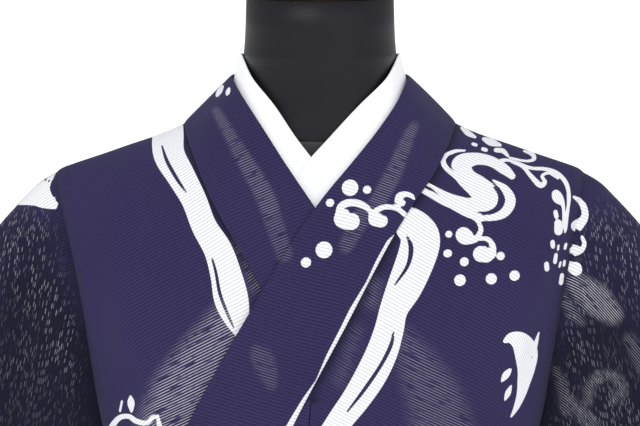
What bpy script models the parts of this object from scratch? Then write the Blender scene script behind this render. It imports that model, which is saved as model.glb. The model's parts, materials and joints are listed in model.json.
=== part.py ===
"""Cotton yukata robe, worn shut over a limbless dress form on a round stand.

Metres, +Z up, the front faces -Y, and the origin is the middle of the stand's underside.
The robe is cut like the real one: two body panels that run from the front hem over the
shoulder to the back hem, two overlaps, one long collar and two bag sleeves. It is tucked
at the waist and tied with a plain sash. A white inner collar shows inside the neck.
Left and right are the wearer's: left is +X. The left front lies over the right one.
"""
import math

import bmesh
import bpy
from mathutils import Vector

# Cloth
WALL = 0.0012            # one layer of cotton
COLLAR_WALL = 0.0018     # the collar is a folded band
SASH_WALL = 0.0026
PITCH = 0.0028           # from one wrapped layer of cloth to the next
SEAM = 0.0003            # open slit where two pieces are sewn together
CURVED_SEAM = 0.0012     # the same on the inside of a rounded seam, where the walls lean together
ROUND = 2.2              # exponent of every level section, 2 being an ellipse

# Heights
CHEST_Z = 1.10           # below this the front hangs plumb
BLOUSE_Z = 1.01          # the cloth starts to draw in to the sash
SASH_TOP_Z = 0.976
SASH_LOW_Z = 0.830
TUCK_TOP_Z = 0.900       # upper fold of the waist tuck, under the sash
TUCK_LOW_Z = 0.768       # lower fold of the waist tuck
HEM_Z = 0.085
TIP_Z = 1.090            # pointed top of the overlaps, on the collar seam
NAPE_Z = 1.272           # collar seam at the middle of the back
TORSO_LOW_Z = 0.700
NECK_TOP_Z = 1.385

# Sleeves
SLEEVE_WIDTH = 0.330
SLEEVE_DEPTH = 0.490
SEWN_DEPTH = 0.230       # how far down the sleeve is sewn to the body
CUFF_DEPTH = 0.230       # how far down the outer edge is left open
ARMHOLE_SLIT = 0.0019    # between the inner faces there, because the walls lean together

# Stand
BASE_RADIUS = 0.170
BASE_HIGH = 0.014
POLE_RADIUS = 0.0125

# Height of the shoulder fold: distance from the middle, height
SHOULDER = (
    (0.0000, 1.3450),
    (0.0500, 1.3360),
    (0.0694, 1.3220),
    (0.1076, 1.2850),
    (0.1588, 1.2655),
    (0.2120, 1.2473),
    (0.2300, 1.2400),
)

# Robe above the sash: height, half width, depth to the front, depth to the back
UPPER = (
    (0.960, 0.1492, 0.1179, 0.1080),
    (0.980, 0.1515, 0.1179, 0.1083),
    (1.000, 0.1610, 0.1178, 0.1092),
    (1.020, 0.1730, 0.1176, 0.1100),
    (1.044, 0.1835, 0.1172, 0.1110),
    (1.100, 0.1990, 0.1168, 0.1130),
    (1.134, 0.2066, 0.1166, 0.1140),
    (1.183, 0.2133, 0.1165, 0.1160),
    (1.247, 0.2320, 0.1165, 0.1180),
    (1.345, 0.2400, 0.1165, 0.1180),
)

# Innermost layer of the skirt: height, half width, depth to the front, depth to the back
SKIRT = (
    (0.085, 0.1510, 0.1070, 0.1070),
    (0.450, 0.1610, 0.1110, 0.1130),
    (0.700, 0.1640, 0.1125, 0.1165),
    (0.800, 0.1545, 0.1105, 0.1100),
    (0.880, 0.1415, 0.1075, 0.1005),
    (0.940, 0.1352, 0.1052, 0.0952),
    (1.000, 0.1400, 0.1060, 0.0960),
)

# Side edge of the front and back, where the sleeves are sewn on: height, distance out
ARMHOLE = (
    (1.0100, 0.1650),
    (1.0440, 0.1735),
    (1.1340, 0.1870),
    (1.1830, 0.1970),
    (1.2473, 0.2120),
)

# Collar edges down the chest: height, distance towards the wearer's left.
LEFT_SEAM = (
    (1.0000, -0.0490),
    (1.0630, -0.0207),
    (1.1019, 0.0000),
    (1.2141, 0.0605),
    (1.2278, 0.0697),
    (1.2488, 0.0860),
    (1.2644, 0.0961),
    (1.2850, 0.1076),
)
LEFT_EDGE = (
    (1.0000, -0.1280),
    (1.0612, -0.1018),
    (1.1510, -0.0529),
    (1.2283, -0.0038),
    (1.2557, 0.0198),
    (1.2736, 0.0343),
    (1.2933, 0.0518),
    (1.3220, 0.0694),
)
RIGHT_SEAM = (
    (1.0000, 0.0490),
    (1.0630, 0.0207),
    (1.1019, 0.0000),
    (1.1688, -0.0453),
    (1.1977, -0.0624),
    (1.2374, -0.0861),
    (1.2600, -0.0965),
    (1.2850, -0.1076),
)
RIGHT_EDGE = (
    (1.0000, 0.1260),
    (1.0612, 0.0980),
    (1.1510, 0.0480),
    (1.2283, -0.0038),
    (1.2557, -0.0233),
    (1.2776, -0.0382),
    (1.2988, -0.0527),
    (1.3220, -0.0694),
)

# Edges below the chest, as degrees round the body from the middle of the front,
# counted towards the side that the front wraps to: height, collar seam, free edge, overlap seam
WRAP = (
    (0.085, 44.0, 76.0, 9.0),
    (0.770, 42.0, 74.0, 6.0),
    (0.860, 40.0, 70.0, 5.0),
    (0.930, 32.0, 63.0, 4.0),
    (1.000, 15.7, 51.0, 3.2),
    (1.090, 1.3, 40.0, 1.3),
)

# Free inner edge of the hanging sleeve below its seam: depth, out, half thickness, height
SLEEVE_INNER = (
    (0.230, 0.1701, 0.0330, 1.0200),
    (0.300, 0.1745, 0.0350, 0.9500),
    (0.400, 0.1830, 0.0320, 0.8510),
    (0.490, 0.2040, 0.0080, 0.7600),
)

# Dress form: height, half width, depth to the front, depth to the back, section exponent
FORM = (
    (0.700, 0.1500, 0.1020, 0.1060, 2.2),
    (0.706, 0.1550, 0.1060, 0.1090, 2.2),
    (0.730, 0.1570, 0.1080, 0.1110, 2.2),
    (0.800, 0.1515, 0.1075, 0.1070, 2.2),
    (0.880, 0.1404, 0.1065, 0.0995, 2.2),
    (0.910, 0.1366, 0.1053, 0.0963, 2.2),
    (0.940, 0.1343, 0.1043, 0.0943, 2.2),
    (1.000, 0.1420, 0.1050, 0.0960, 2.2),
    (1.060, 0.1560, 0.1080, 0.1000, 2.2),
    (1.120, 0.1640, 0.1070, 0.1020, 2.2),
    (1.170, 0.1700, 0.0950, 0.1010, 2.2),
    (1.210, 0.1730, 0.0825, 0.0960, 2.2),
    (1.232, 0.1660, 0.0760, 0.0900, 2.2),
    (1.246, 0.1480, 0.0700, 0.0840, 2.2),
    (1.258, 0.1200, 0.0670, 0.0780, 2.15),
    (1.270, 0.0930, 0.0650, 0.0710, 2.1),
    (1.285, 0.0700, 0.0630, 0.0640, 2.0),
    (1.305, 0.0605, 0.0600, 0.0600, 2.0),
    (1.340, 0.0590, 0.0590, 0.0590, 2.0),
    (1.385, 0.0583, 0.0583, 0.0583, 2.0),
)

# Colour (linear), roughness and metallic value of each finish
NAVY = ((0.030, 0.025, 0.107, 1.0), 0.85, 0.0)
WHITE = ((0.86, 0.87, 0.90, 1.0), 0.85, 0.0)
SASH_RED = ((0.32, 0.045, 0.055, 1.0), 0.7, 0.0)
LEATHERETTE = ((0.026, 0.026, 0.033, 1.0), 0.5, 0.0)
DARK_WOOD = ((0.10, 0.035, 0.02, 1.0), 0.4, 0.0)
BLACK_METAL = ((0.02, 0.02, 0.022, 1.0), 0.45, 1.0)


def lerp(a, b, share):
    return a + (b - a) * share


def ease(share):
    """Smooth step from 0 to 1."""
    share = min(max(share, 0.0), 1.0)
    return share * share * (3.0 - 2.0 * share)


def read(table, key):
    """Values of a table at a key between its rows, on a smooth curve through them."""
    rows = len(table)
    if key <= table[0][0]:
        return list(table[0][1:])
    if key >= table[-1][0]:
        return list(table[-1][1:])
    low = max(i for i in range(rows - 1) if table[i][0] <= key)
    step = table[low + 1][0] - table[low][0]
    share = (key - table[low][0]) / step
    values = []
    for column in range(1, len(table[0])):
        rise = (table[low + 1][column] - table[low][column]) / step
        slopes = []
        for row in (low, low + 1):
            if row == 0 or row == rows - 1:
                slopes.append(rise)
                continue
            before = (table[row][column] - table[row - 1][column]) / (table[row][0] - table[row - 1][0])
            after = (table[row + 1][column] - table[row][column]) / (table[row + 1][0] - table[row][0])
            slopes.append(0.0 if before * after <= 0 else 2.0 * before * after / (before + after))
        a, b = slopes
        cubic = share * share * (3.0 - 2.0 * share)
        values.append(
            lerp(table[low][column], table[low + 1][column], cubic)
            + step * share * (1.0 - share) * (a * (1.0 - share) - b * share)
        )
    return values


def section(z, layer):
    """Half width and depths of the robe at a height, on the given layer."""
    if z > UPPER[0][0]:
        return [size + (layer - 4.5) * PITCH for size in read(UPPER, z)]
    return [size + layer * PITCH for size in read(SKIRT, z)]


def swell(drop, fall, power):
    """How far the cloth has come forward, from 0 on the shoulder fold to 1 at the chest."""
    share = min(max(drop / fall, 0.0), 1.0)
    return (1.0 - (1.0 - share) ** power) ** (1.0 / power)


def skin(turn, z, layer, back=False):
    """Point on the robe at degrees from the middle of the front or back, height and layer."""
    half, front, rear = section(z, layer)
    angle = math.radians(turn)
    x = half * math.copysign(abs(math.sin(angle)) ** (2.0 / ROUND), angle)
    level = abs(math.cos(angle)) ** (2.0 / ROUND)
    crest = read(SHOULDER, abs(x))[0]
    if back:
        middle = 1.0 - ease(abs(x) / 0.10)
        crest += 0.055 * middle
        power = 2.0 + 2.0 * (1.0 - ease(abs(x) / 0.11))
        return Vector((x, rear * level * swell(crest - z, crest - CHEST_Z, power), z))
    return Vector((x, -front * level * swell(crest - z, crest - CHEST_Z, 1.8), z))


def turn_at(x, z, layer):
    """Degrees round the section at which the robe has this distance from the middle."""
    half = section(z, layer)[0]
    share = min(abs(x) / half, 1.0)
    return math.copysign(math.degrees(math.asin(share ** (ROUND / 2.0))), x)


def finish_material(name, finish):
    colour, roughness, metallic = finish
    material = bpy.data.materials.new(name)
    material.use_nodes = True
    shader = material.node_tree.nodes["Principled BSDF"]
    shader.inputs["Base Color"].default_value = colour
    shader.inputs["Roughness"].default_value = roughness
    shader.inputs["Metallic"].default_value = metallic
    return material


def add_object(name, bm, finish, wall=0.0):
    """Turn a bmesh into a smooth-shaded object, with a wall built outwards if it is cloth."""
    mesh = bpy.data.meshes.new(name)
    bm.to_mesh(mesh)
    bm.free()
    mesh.shade_smooth()
    mesh.materials.append(finish)
    item = bpy.data.objects.new(name, mesh)
    robe_parts.objects.link(item)
    if wall:
        solid = item.modifiers.new("wall", "SOLIDIFY")
        solid.thickness = wall
        solid.offset = 1.0
    return item


def sheet(name, place, columns, rows, finish, wall, heart=None, ring=False):
    """Cloth panel: a grid whose points go where place(u, v) puts them, with a wall outwards.

    The wall grows away from heart(point), or from the robe's middle line."""
    bm = bmesh.new()
    bmesh.ops.create_grid(bm, x_segments=columns, y_segments=rows, size=0.5)
    for vert in bm.verts:
        vert.co = place(vert.co.x + 0.5, vert.co.y + 0.5)
    if ring:
        bmesh.ops.remove_doubles(bm, verts=bm.verts, dist=0.00005)
    bm.normal_update()
    outwards = 0.0
    for face in bm.faces:
        centre = face.calc_center_median()
        inside = heart(centre) if heart else Vector((0.0, 0.0, centre.z - 0.02))
        outwards += face.normal.dot(centre - inside) * face.calc_area()
    if outwards < 0.0:
        bmesh.ops.reverse_faces(bm, faces=bm.faces)
    return add_object(name, bm, finish, wall)


def loft(name, table, segments, finish):
    """Closed solid through level superellipses, one for each row, its ends filled flat."""
    steps = len(table) - 1
    bm = bmesh.new()
    bmesh.ops.create_grid(bm, x_segments=segments, y_segments=steps, size=0.5)
    for vert in bm.verts:
        angle = 2.0 * math.pi * (vert.co.x + 0.5)
        z, half, front, rear, power = table[round((vert.co.y + 0.5) * steps)]
        x = half * math.copysign(abs(math.sin(angle)) ** (2.0 / power), math.sin(angle))
        depth = front if math.cos(angle) > 0 else rear
        y = -depth * math.copysign(abs(math.cos(angle)) ** (2.0 / power), math.cos(angle))
        vert.co = Vector((x, y, z))
    bmesh.ops.remove_doubles(bm, verts=bm.verts, dist=0.00005)
    bmesh.ops.holes_fill(bm, edges=[edge for edge in bm.edges if edge.is_boundary], sides=0)
    bmesh.ops.recalc_face_normals(bm, faces=bm.faces)
    return add_object(name, bm, finish)


# Rows of a body panel below the chest. Each says where the cloth is on its way down:
# outside the tuck, up behind it, and then down the skirt.
OWN_LAYER = {
    "right": {"outer": 4.0, "inner": 3.4, "skirt": 0.0},
    "left": {"outer": 5.0, "inner": 2.5, "skirt": 1.0},
}
OUTER_HEIGHTS = (0.995, 0.982, 0.965, 0.930, 0.885, 0.840, 0.800)
INNER_HEIGHTS = (0.800, 0.850)
SKIRT_HEIGHTS = (0.860, 0.800, 0.700, 0.540, 0.320, HEM_Z)
BEND_ANGLES = (0.0, 90.0, 180.0)
NEST = 0.0045            # the right side's lower fold lies this much inside the left side's


def lower_rows():
    rows = [("run", z, "outer", "outer", 0.0) for z in OUTER_HEIGHTS]
    rows += [("low", TUCK_LOW_Z, "outer", "inner", angle) for angle in BEND_ANGLES]
    rows += [("run", z, "inner", "inner", 0.0) for z in INNER_HEIGHTS]
    rows += [("top", TUCK_TOP_Z, "inner", "skirt", angle) for angle in BEND_ANGLES]
    rows += [("run", z, "skirt", "skirt", 0.0) for z in SKIRT_HEIGHTS]
    return rows


def from_middle(turn, back):
    """Share of a side's own layering: all of it on the front, none at the middle of the back."""
    return ease((abs(turn) - 40.0) / 50.0) if back else 1.0


def layer_of(side, role, turn, back):
    """Layer of the cloth. Both sides meet on the same one at the middle of the back."""
    common = (OWN_LAYER["right"][role] + OWN_LAYER["left"][role]) / 2.0
    return lerp(common, OWN_LAYER[side][role], from_middle(turn, back))


def lower_point(side, row, turn, back=False):
    """Point of a row below the chest; folds turn on a half circle between two layers."""
    kind, z, start_role, end_role, angle = row
    start = layer_of(side, start_role, turn, back)
    end = layer_of(side, end_role, turn, back)
    if kind == "run":
        return skin(turn, z, start, back)
    if kind == "low" and side == "right":
        z += NEST * from_middle(turn, back)
    swing = math.radians(angle)
    layer = lerp(start, end, 0.5 - 0.5 * math.cos(swing))
    reach = abs(start - end) / 2.0 * PITCH * math.sin(swing)
    return skin(turn, z - reach if kind == "low" else z + reach, layer, back)


def wrap_turn(z, column):
    return read(WRAP, z)[column]


def front_edge(side, name, z, layer):
    """Degrees of a seam or edge on a front at a height; the left front wraps towards the right."""
    away = 1.0 if side == "left" else -1.0
    tables = {"seam": (LEFT_SEAM, RIGHT_SEAM), "edge": (LEFT_EDGE, RIGHT_EDGE)}
    if name in tables and z >= 1.0:
        table = tables[name][0 if side == "left" else 1]
        return turn_at(read(table, z)[0], z, layer)
    column = {"seam": 0, "edge": 1, "overlap": 2}[name]
    return -away * wrap_turn(z, column)


# Rows of a body panel above the sash, from the shoulder fold (0) down to where it blouses (1)
TIP_STEP = (SHOULDER[3][1] - TIP_Z) / (SHOULDER[3][1] - BLOUSE_Z)
UPPER_STEPS = (0.012, 0.045, 0.10, 0.18, 0.28, 0.39, 0.50, 0.61, TIP_STEP, 0.81, 0.91, 1.0)
NECK_STEP = 0.18         # the back neckline ends at the middle of the back on this row


def upper_point(side, step, share, back):
    """Point of a row above the sash: share runs from the collar or middle seam to the armhole."""
    away = 1.0 if side == "left" else -1.0
    layer = 4.5 if back else lerp(4.5, OWN_LAYER[side]["outer"], ease(step / 0.3))
    side_z = lerp(ARMHOLE[-1][0], BLOUSE_Z, step)
    side_x = read(ARMHOLE, side_z)[0] - SEAM / 2.0
    seam_x, shoulder_z = SHOULDER[3]
    if back:
        neck = min(step / NECK_STEP, 1.0)
        inner_x = max(seam_x * math.cos(neck * math.pi / 2.0) + CURVED_SEAM / 2.0, SEAM / 2.0)
        inner_z = lerp(shoulder_z, NAPE_Z, neck)
        if step > NECK_STEP:
            inner_z = lerp(NAPE_Z, BLOUSE_Z, (step - NECK_STEP) / (1.0 - NECK_STEP))
    else:
        inner_z = lerp(shoulder_z, BLOUSE_Z, step)
        name = "seam" if step < TIP_STEP + 0.001 else "overlap"
        edge = front_edge(side, name, inner_z, layer)
        inner_x = away * skin(edge, inner_z, layer).x + CURVED_SEAM / 2.0
    first = turn_at(inner_x, inner_z, layer)
    last = turn_at(side_x, side_z, layer)
    turn = lerp(first, last, share)
    inner_drop = read(SHOULDER, abs(inner_x))[0] - inner_z
    side_drop = read(SHOULDER, side_x)[0] - side_z
    if step == 0.0:
        inner_drop = 0.0
    z = lerp(inner_z, side_z, share)
    for _ in range(12):
        x = abs(skin(turn, z, layer, back).x)
        hung = read(SHOULDER, x)[0] - lerp(inner_drop, side_drop, share)
        z = lerp(hung, lerp(inner_z, side_z, share), step)
    return skin(away * turn, z, layer, back)


def side_turn(z):
    """Degrees to the side seam, leaving half of its slit. It opens above the sash."""
    opened = 7.0 * ease((z - SASH_TOP_Z) / (BLOUSE_Z - SASH_TOP_Z))
    return 90.0 - opened - math.degrees(SEAM / 2.0 / section(z, 0.0)[2]) * 1.5


def body_panel(side, finish):
    """Front and back of one side in one piece, over the shoulder, open at the armhole."""
    away = 1.0 if side == "left" else -1.0
    below = lower_rows()
    rows = [("back", row) for row in reversed(below)]
    rows += [("back_up", step) for step in reversed(UPPER_STEPS)]
    rows += [("front_up", 0.0)]
    rows += [("front_up", step) for step in UPPER_STEPS]
    rows += [("front", row) for row in below]

    def place(u, v):
        where, row = rows[round(v * (len(rows) - 1))]
        if where == "back_up" or where == "front_up":
            return upper_point(side, row, u, where == "back_up")
        z = row[1]
        last = side_turn(z)
        slit = math.degrees(SEAM / 2.0 / section(z, 0.0)[1])
        first = slit
        if where == "front":
            first = away * front_edge(side, "overlap", z, 0.0) + slit
        return lower_point(side, row, away * lerp(first, last, u), where == "back")

    return sheet("body_" + side, place, BODY_COLUMNS, len(rows) - 1, finish, WALL)


def free_share(row):
    """How far an overlap has widened from the collar seam (0) to its own free edge (1)."""
    kind, z, start_role, _, angle = row
    if kind == "low":
        return 0.1 * (angle > 90.0)
    if kind == "top":
        return lerp(0.72, 0.90, angle / 180.0)
    if start_role == "inner":
        return lerp(0.25, 0.50, (z - INNER_HEIGHTS[0]) / (INNER_HEIGHTS[1] - INNER_HEIGHTS[0]))
    return 0.0 if start_role == "outer" else 1.0


def overlap_panel(side, finish):
    """Front overlap: a pointed strip from the collar seam down to the hem, with a free edge."""
    away = 1.0 if side == "left" else -1.0
    tops = [("run", z, "outer", "outer", 0.0) for z in (1.083, 1.065, 1.045, 1.025, 1.010)]
    rows = tops + lower_rows()

    def place(u, v):
        row = rows[round(v * (len(rows) - 1))]
        z = row[1]
        layer = OWN_LAYER[side]["outer"]
        slit = math.degrees(SEAM / 2.0 / section(z, 0.0)[1])
        first = away * front_edge(side, "overlap", z, layer) - slit
        seam_turn = away * front_edge(side, "seam", z, layer)
        seam_turn += math.degrees(CURVED_SEAM / 2.0 / section(z, 0.0)[1])
        last = lerp(seam_turn, away * front_edge(side, "edge", z, layer), free_share(row))
        return lower_point(side, row, away * lerp(first, last, u))

    return sheet("overlap_" + side, place, OVERLAP_COLUMNS, len(rows) - 1, finish, WALL)


# Rows of the collar on a front: height on its seam, how much higher its free edge is there
COLLAR_ROWS = (
    (1.2850, 0.0370),
    (1.2790, 0.0365),
    (1.2700, 0.0350),
    (1.2520, 0.0320),
    (1.2300, 0.0310),
    (1.2050, 0.0310),
    (1.1750, 0.0330),
    (1.1400, 0.0350),
    (1.1050, 0.0360),
    (1.0700, 0.0370),
    (1.0350, 0.0360),
    (1.0080, 0.0330),
    (0.9850, 0.0280),
    (0.9725, 0.0255),
    (0.9600, 0.0230),
    (0.9250, 0.0180),
    (0.8850, 0.0120),
    (0.8400, 0.0060),
    (0.7690, 0.0000),
)
NECK_ARCS = 12           # collar rows round the back of the neck


def nape_outer(swing):
    """Collar seam round the back: swing is 0 on the right shoulder and 180 on the left."""
    angle = math.radians(swing)
    x = -SHOULDER[3][0] * math.cos(angle)
    neck = 1.0 - math.acos(min(abs(x) / SHOULDER[3][0], 1.0)) / (math.pi / 2.0)
    z = lerp(NAPE_Z, SHOULDER[3][1], neck)
    return skin(turn_at(x, z, 4.5), z, 4.5, back=True)


def nape_ring(swing, half, rear, side_z, rear_z):
    """Level curve round the back of the neck."""
    angle = math.radians(swing)
    x = -half * math.copysign(abs(math.cos(angle)) ** (2.0 / 2.4), math.cos(angle))
    y = rear * abs(math.sin(angle)) ** (2.0 / 2.4)
    return Vector((x, y, lerp(side_z, rear_z, math.sin(angle))))


def skin_inside(turn, z, layer, depth):
    """Point at a depth inside the front of the robe, measured square to the cloth."""
    below = skin(turn, z - 0.001, layer)
    across = skin(turn + 1.0, z - 0.001, layer) - below
    down = skin(turn, z - 0.004, layer) - below
    outwards = down.cross(across).normalized()
    return skin(turn, z, layer) - outwards * depth


def nape_point(swing, share):
    """Point on the collar round the back; share 0 is the seam and 1 is the free edge."""
    edge_x, edge_z = SHOULDER[2]
    return nape_outer(swing).lerp(nape_ring(swing, edge_x, 0.098, edge_z, 1.318), share)


def nape_inside(swing, share, depth):
    """Point at a depth inside the collar at the back of the neck."""
    point = nape_point(swing, share)
    along = nape_point(swing + 2.0, share) - nape_point(swing - 2.0, share)
    outwards = along.cross(nape_point(swing, 1.0) - nape_point(swing, 0.0)).normalized()
    if outwards.dot(Vector((point.x, point.y, 0.0))) < 0.0:
        outwards.negate()
    return point - outwards * depth


def collar_place(side, row, share, layer_side):
    """Degrees, height and layer on the collar down a front; share 0 is the seam, 1 the free edge."""
    seam_z, lift = row
    away = 1.0 if side == "left" else -1.0
    edge_z = seam_z + lift
    layer = lerp(4.5, OWN_LAYER[layer_side]["outer"], ease((SHOULDER[3][1] - seam_z) / 0.06))
    first = front_edge(side, "seam", seam_z, layer)
    first -= away * math.degrees(CURVED_SEAM / 2.0 / section(seam_z, 0.0)[1])
    last = front_edge(side, "edge", edge_z, layer)
    return lerp(first, last, share), lerp(seam_z, edge_z, share), layer


def collar(finish):
    """One folded band: up the right front, round the back of the neck, down the left front."""
    rows = [("right", row) for row in reversed(COLLAR_ROWS)]
    rows += [("nape", 180.0 * step / NECK_ARCS) for step in range(1, NECK_ARCS)]
    rows += [("left", row) for row in COLLAR_ROWS]

    def place(u, v):
        where, row = rows[round(v * (len(rows) - 1))]
        if where != "nape":
            return skin(*collar_place(where, row, u, where))
        lean = (nape_point(row, 1.0) - nape_point(row, 0.0)).normalized() * CURVED_SEAM
        return nape_point(row, u) + lean * (1.0 - u)

    return sheet("collar", place, COLLAR_COLUMNS, len(rows) - 1, finish, COLLAR_WALL)


# Free edge of the inner collar beside the neck: height at which it comes out of the robe's
# collar, then its distance out, depth to the front and height
INNER_EDGE = (
    (1.1730, -0.0420, 0.0975, 1.1980),
    (1.2110, -0.0200, 0.0870, 1.2330),
    (1.2400, 0.0000, 0.0728, 1.2620),
    (1.2570, 0.0152, 0.0668, 1.2780),
    (1.2810, 0.0333, 0.0560, 1.3016),
    (1.3030, 0.0530, 0.0345, 1.3243),
    (1.3210, 0.0622, 0.0000, 1.3410),
)
INNER_STEP = 0.0010      # it comes out this far below the robe's collar edge
MOUTH_SHARE = 0.98       # where it goes in under the collar, and how far it reaches there,
LOW_SHARE = 0.45         # as shares of the collar's width
INNER_DEPTH = {"left": 0.0021, "right": 0.0046}
MOUTH_DEPTH = 0.0014     # deeper by this much at the robe's collar edge


def inner_front(side, row, share):
    """Point on the inner collar: it leans from the neck to the collar, and on under it."""
    exit_z = row[0] + row[1] - INNER_STEP
    out, depth, z = read(INNER_EDGE, exit_z)
    away = 1.0 if side == "left" else -1.0
    free = Vector((away * out, -depth, z))
    if side == "right":
        free.y += 0.0022 * ease((1.2850 - z) / 0.02)
    inside = lerp(INNER_DEPTH["left"], INNER_DEPTH[side], ease((1.3000 - z) / 0.03))
    mouth = skin_inside(*collar_place(side, row, MOUTH_SHARE, "right"), inside + MOUTH_DEPTH)
    low = skin_inside(*collar_place(side, row, LOW_SHARE, "right"), inside)
    if share < 0.6:
        return free.lerp(mouth, share / 0.6)
    return mouth.lerp(low, (share - 0.6) / 0.4)


def inner_collar(finish):
    """White band inside the robe's collar, right side first, the left end over the right."""
    shown = [row for row in COLLAR_ROWS if row[0] + row[1] - INNER_STEP >= INNER_EDGE[0][0]]
    rows = [("right", row) for row in reversed(shown)]
    rows += [("nape", 180.0 * step / NECK_ARCS) for step in range(1, NECK_ARCS)]
    rows += [("left", row) for row in shown]
    out, _, side_z = INNER_EDGE[-1][1:]

    def place(u, v):
        where, row = rows[round(v * (len(rows) - 1))]
        if where != "nape":
            return inner_front(where, row, u)
        free = nape_ring(row, out, 0.0900, side_z, 1.3290)
        mouth = nape_inside(row, MOUTH_SHARE, INNER_DEPTH["left"] + MOUTH_DEPTH)
        low = nape_inside(row, LOW_SHARE, INNER_DEPTH["left"])
        if u < 0.6:
            return free.lerp(mouth, u / 0.6)
        return mouth.lerp(low, (u - 0.6) / 0.4)

    return sheet("inner_collar", place, 5, len(rows) - 1, finish, WALL)


def sleeve_fold(share):
    """Top fold of the hanging sleeve: it leaves the shoulder at 43 degrees and steepens."""
    x, z = SHOULDER[5]
    steps = 40
    for step in range(round(steps * share)):
        slope = math.radians(min(43.0 + 120.0 * SLEEVE_WIDTH * step / steps, 68.0))
        x += math.cos(slope) * SLEEVE_WIDTH / steps
        z -= math.sin(slope) * SLEEVE_WIDTH / steps
    return x, z


def sleeve_inner(depth, back):
    """Inner edge of the sleeve: along the armhole seam, then hanging free beside the body."""
    if depth >= SEWN_DEPTH:
        return read(SLEEVE_INNER, depth)
    z = lerp(ARMHOLE[-1][0], SLEEVE_INNER[0][3], depth / SEWN_DEPTH)
    x = read(ARMHOLE, z)[0] + ARMHOLE_SLIT
    y = abs(skin(turn_at(x - ARMHOLE_SLIT, z, 4.5), z, 4.5, back).y)
    return [x, y, z]


CUFF_LEAN = -0.024       # the outer edge hangs inwards by this much
CUFF_DROP = 0.472        # height that the outer edge takes up, hanging with slack
CUFF_HALF = 0.013        # half thickness of the open cuff
CORNER_ROUND = 0.13      # how far the rounded lower corner stops short of a square one


def sleeve_point(away, across, round_share):
    """Point on a bag sleeve: across from the armhole to the cuff, round from the top fold."""
    back = round_share > 0.5
    down = 2.0 * (1.0 - round_share if back else round_share)
    down *= 1.0 - CORNER_ROUND * max(0.0, (across - 0.70) / 0.30) ** 2.5
    depth = down * SLEEVE_DEPTH
    fold_x, fold_z = sleeve_fold(across)
    tip_x, tip_z = sleeve_fold(1.0)
    start_x, start_z = SHOULDER[5]
    inner_x, inner_half, inner_z = sleeve_inner(depth, back)
    low_x, _, low_z = SLEEVE_INNER[-1][1:]
    cuff_x = tip_x + CUFF_LEAN * ease(down) ** 0.8
    cuff_z = tip_z - CUFF_DROP * down
    end_x = tip_x + CUFF_LEAN
    end_z = tip_z - CUFF_DROP
    hem_x = lerp(low_x, end_x, across)
    hem_z = lerp(low_z, end_z, across ** 0.9)
    corner_x = lerp(lerp(start_x, low_x, down), lerp(tip_x, end_x, down), across)
    corner_z = lerp(lerp(start_z, low_z, down), lerp(tip_z, end_z, down), across)
    x = lerp(fold_x, hem_x, down) + lerp(inner_x, cuff_x, across) - corner_x
    z = lerp(fold_z, hem_z, down) + lerp(inner_z, cuff_z, across) - corner_z
    sewn = ease((depth - CUFF_DEPTH) / 0.04) * ease((across - 0.75) / 0.25)
    cuff_half = CUFF_HALF * min(1.0, (depth / 0.04) ** 0.6)
    half = lerp(inner_half, cuff_half, ease(across) ** 0.75)
    half += 0.012 * math.sin(math.pi * across) * math.sin(math.pi * min(down, 1.0)) ** 0.8
    half = lerp(half, 0.0022, sewn)
    half *= min(1.0, ((SLEEVE_DEPTH - depth) / 0.03) ** 0.5)
    sway = 0.010 * down * math.sin(math.pi * across) * math.sin(math.radians(560.0 * across + 40.0))
    return Vector((away * x, sway + (half if back else -half), z))


def sleeve(side, finish):
    """Bag sleeve folded at the top, sewn to the armhole, hanging empty beside the body."""
    away = 1.0 if side == "left" else -1.0

    def place(u, v):
        return sleeve_point(away, u, v)

    def heart(point):
        near = min(max((abs(point.x) - 0.19) / 0.16, 0.0), 1.0)
        return Vector((point.x - away * 0.01 * (1.0 - near), 0.0, point.z - 0.01))

    return sheet("sleeve_" + side, place, SLEEVE_COLUMNS, SLEEVE_ROUNDS, finish, WALL, heart, ring=True)


SASH_CLEAR = 0.0014      # from the collar under it


def sash_point(turn, z, clear):
    """Point on the wound sash, clear of the collar and the tuck under it."""
    half, front, rear = [size + 5.0 * PITCH + COLLAR_WALL + clear for size in read(SKIRT, z)]
    angle = math.radians(turn)
    x = half * math.copysign(abs(math.sin(angle)) ** (2.0 / ROUND), math.sin(angle))
    depth = front if math.cos(angle) > 0 else rear
    y = -depth * math.copysign(abs(math.cos(angle)) ** (2.0 / ROUND), math.cos(angle))
    return Vector((x, y, z))


def sash(finish):
    def place(u, v):
        return sash_point(360.0 * u, lerp(SASH_LOW_Z, SASH_TOP_Z, v), SASH_CLEAR)

    return sheet("sash", place, SASH_SEGMENTS, 4, finish, SASH_WALL, ring=True)


KNOT_WIDE = 0.058
KNOT_HIGH = 0.072
KNOT_DEEP = 0.026
WING_LONG = 0.125
WING_HIGH = 0.135
KNOT_Z = 0.925
KNOT_ROUND = 0.009


def knot_back():
    """Depth of the sash's outer face where the flat of the knot starts."""
    return sash_point(180.0, KNOT_Z - KNOT_HIGH / 2.0 + 0.8 * KNOT_ROUND, SASH_CLEAR).y + SASH_WALL


def sash_knot(finish):
    """Folded middle of the bow, a rounded pad against the back of the sash."""
    bm = bmesh.new()
    bmesh.ops.create_cube(bm, size=1.0)
    for vert in bm.verts:
        vert.co.x *= KNOT_WIDE
        vert.co.y = vert.co.y * KNOT_DEEP + knot_back() + KNOT_DEEP / 2.0 + 2.0 * SEAM
        vert.co.z = vert.co.z * KNOT_HIGH + KNOT_Z
    bmesh.ops.bevel(
        bm, geom=bm.edges[:], offset=KNOT_ROUND, segments=3, profile=0.5, affect="EDGES", material=-1
    )
    return add_object("sash_knot", bm, finish)


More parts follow.
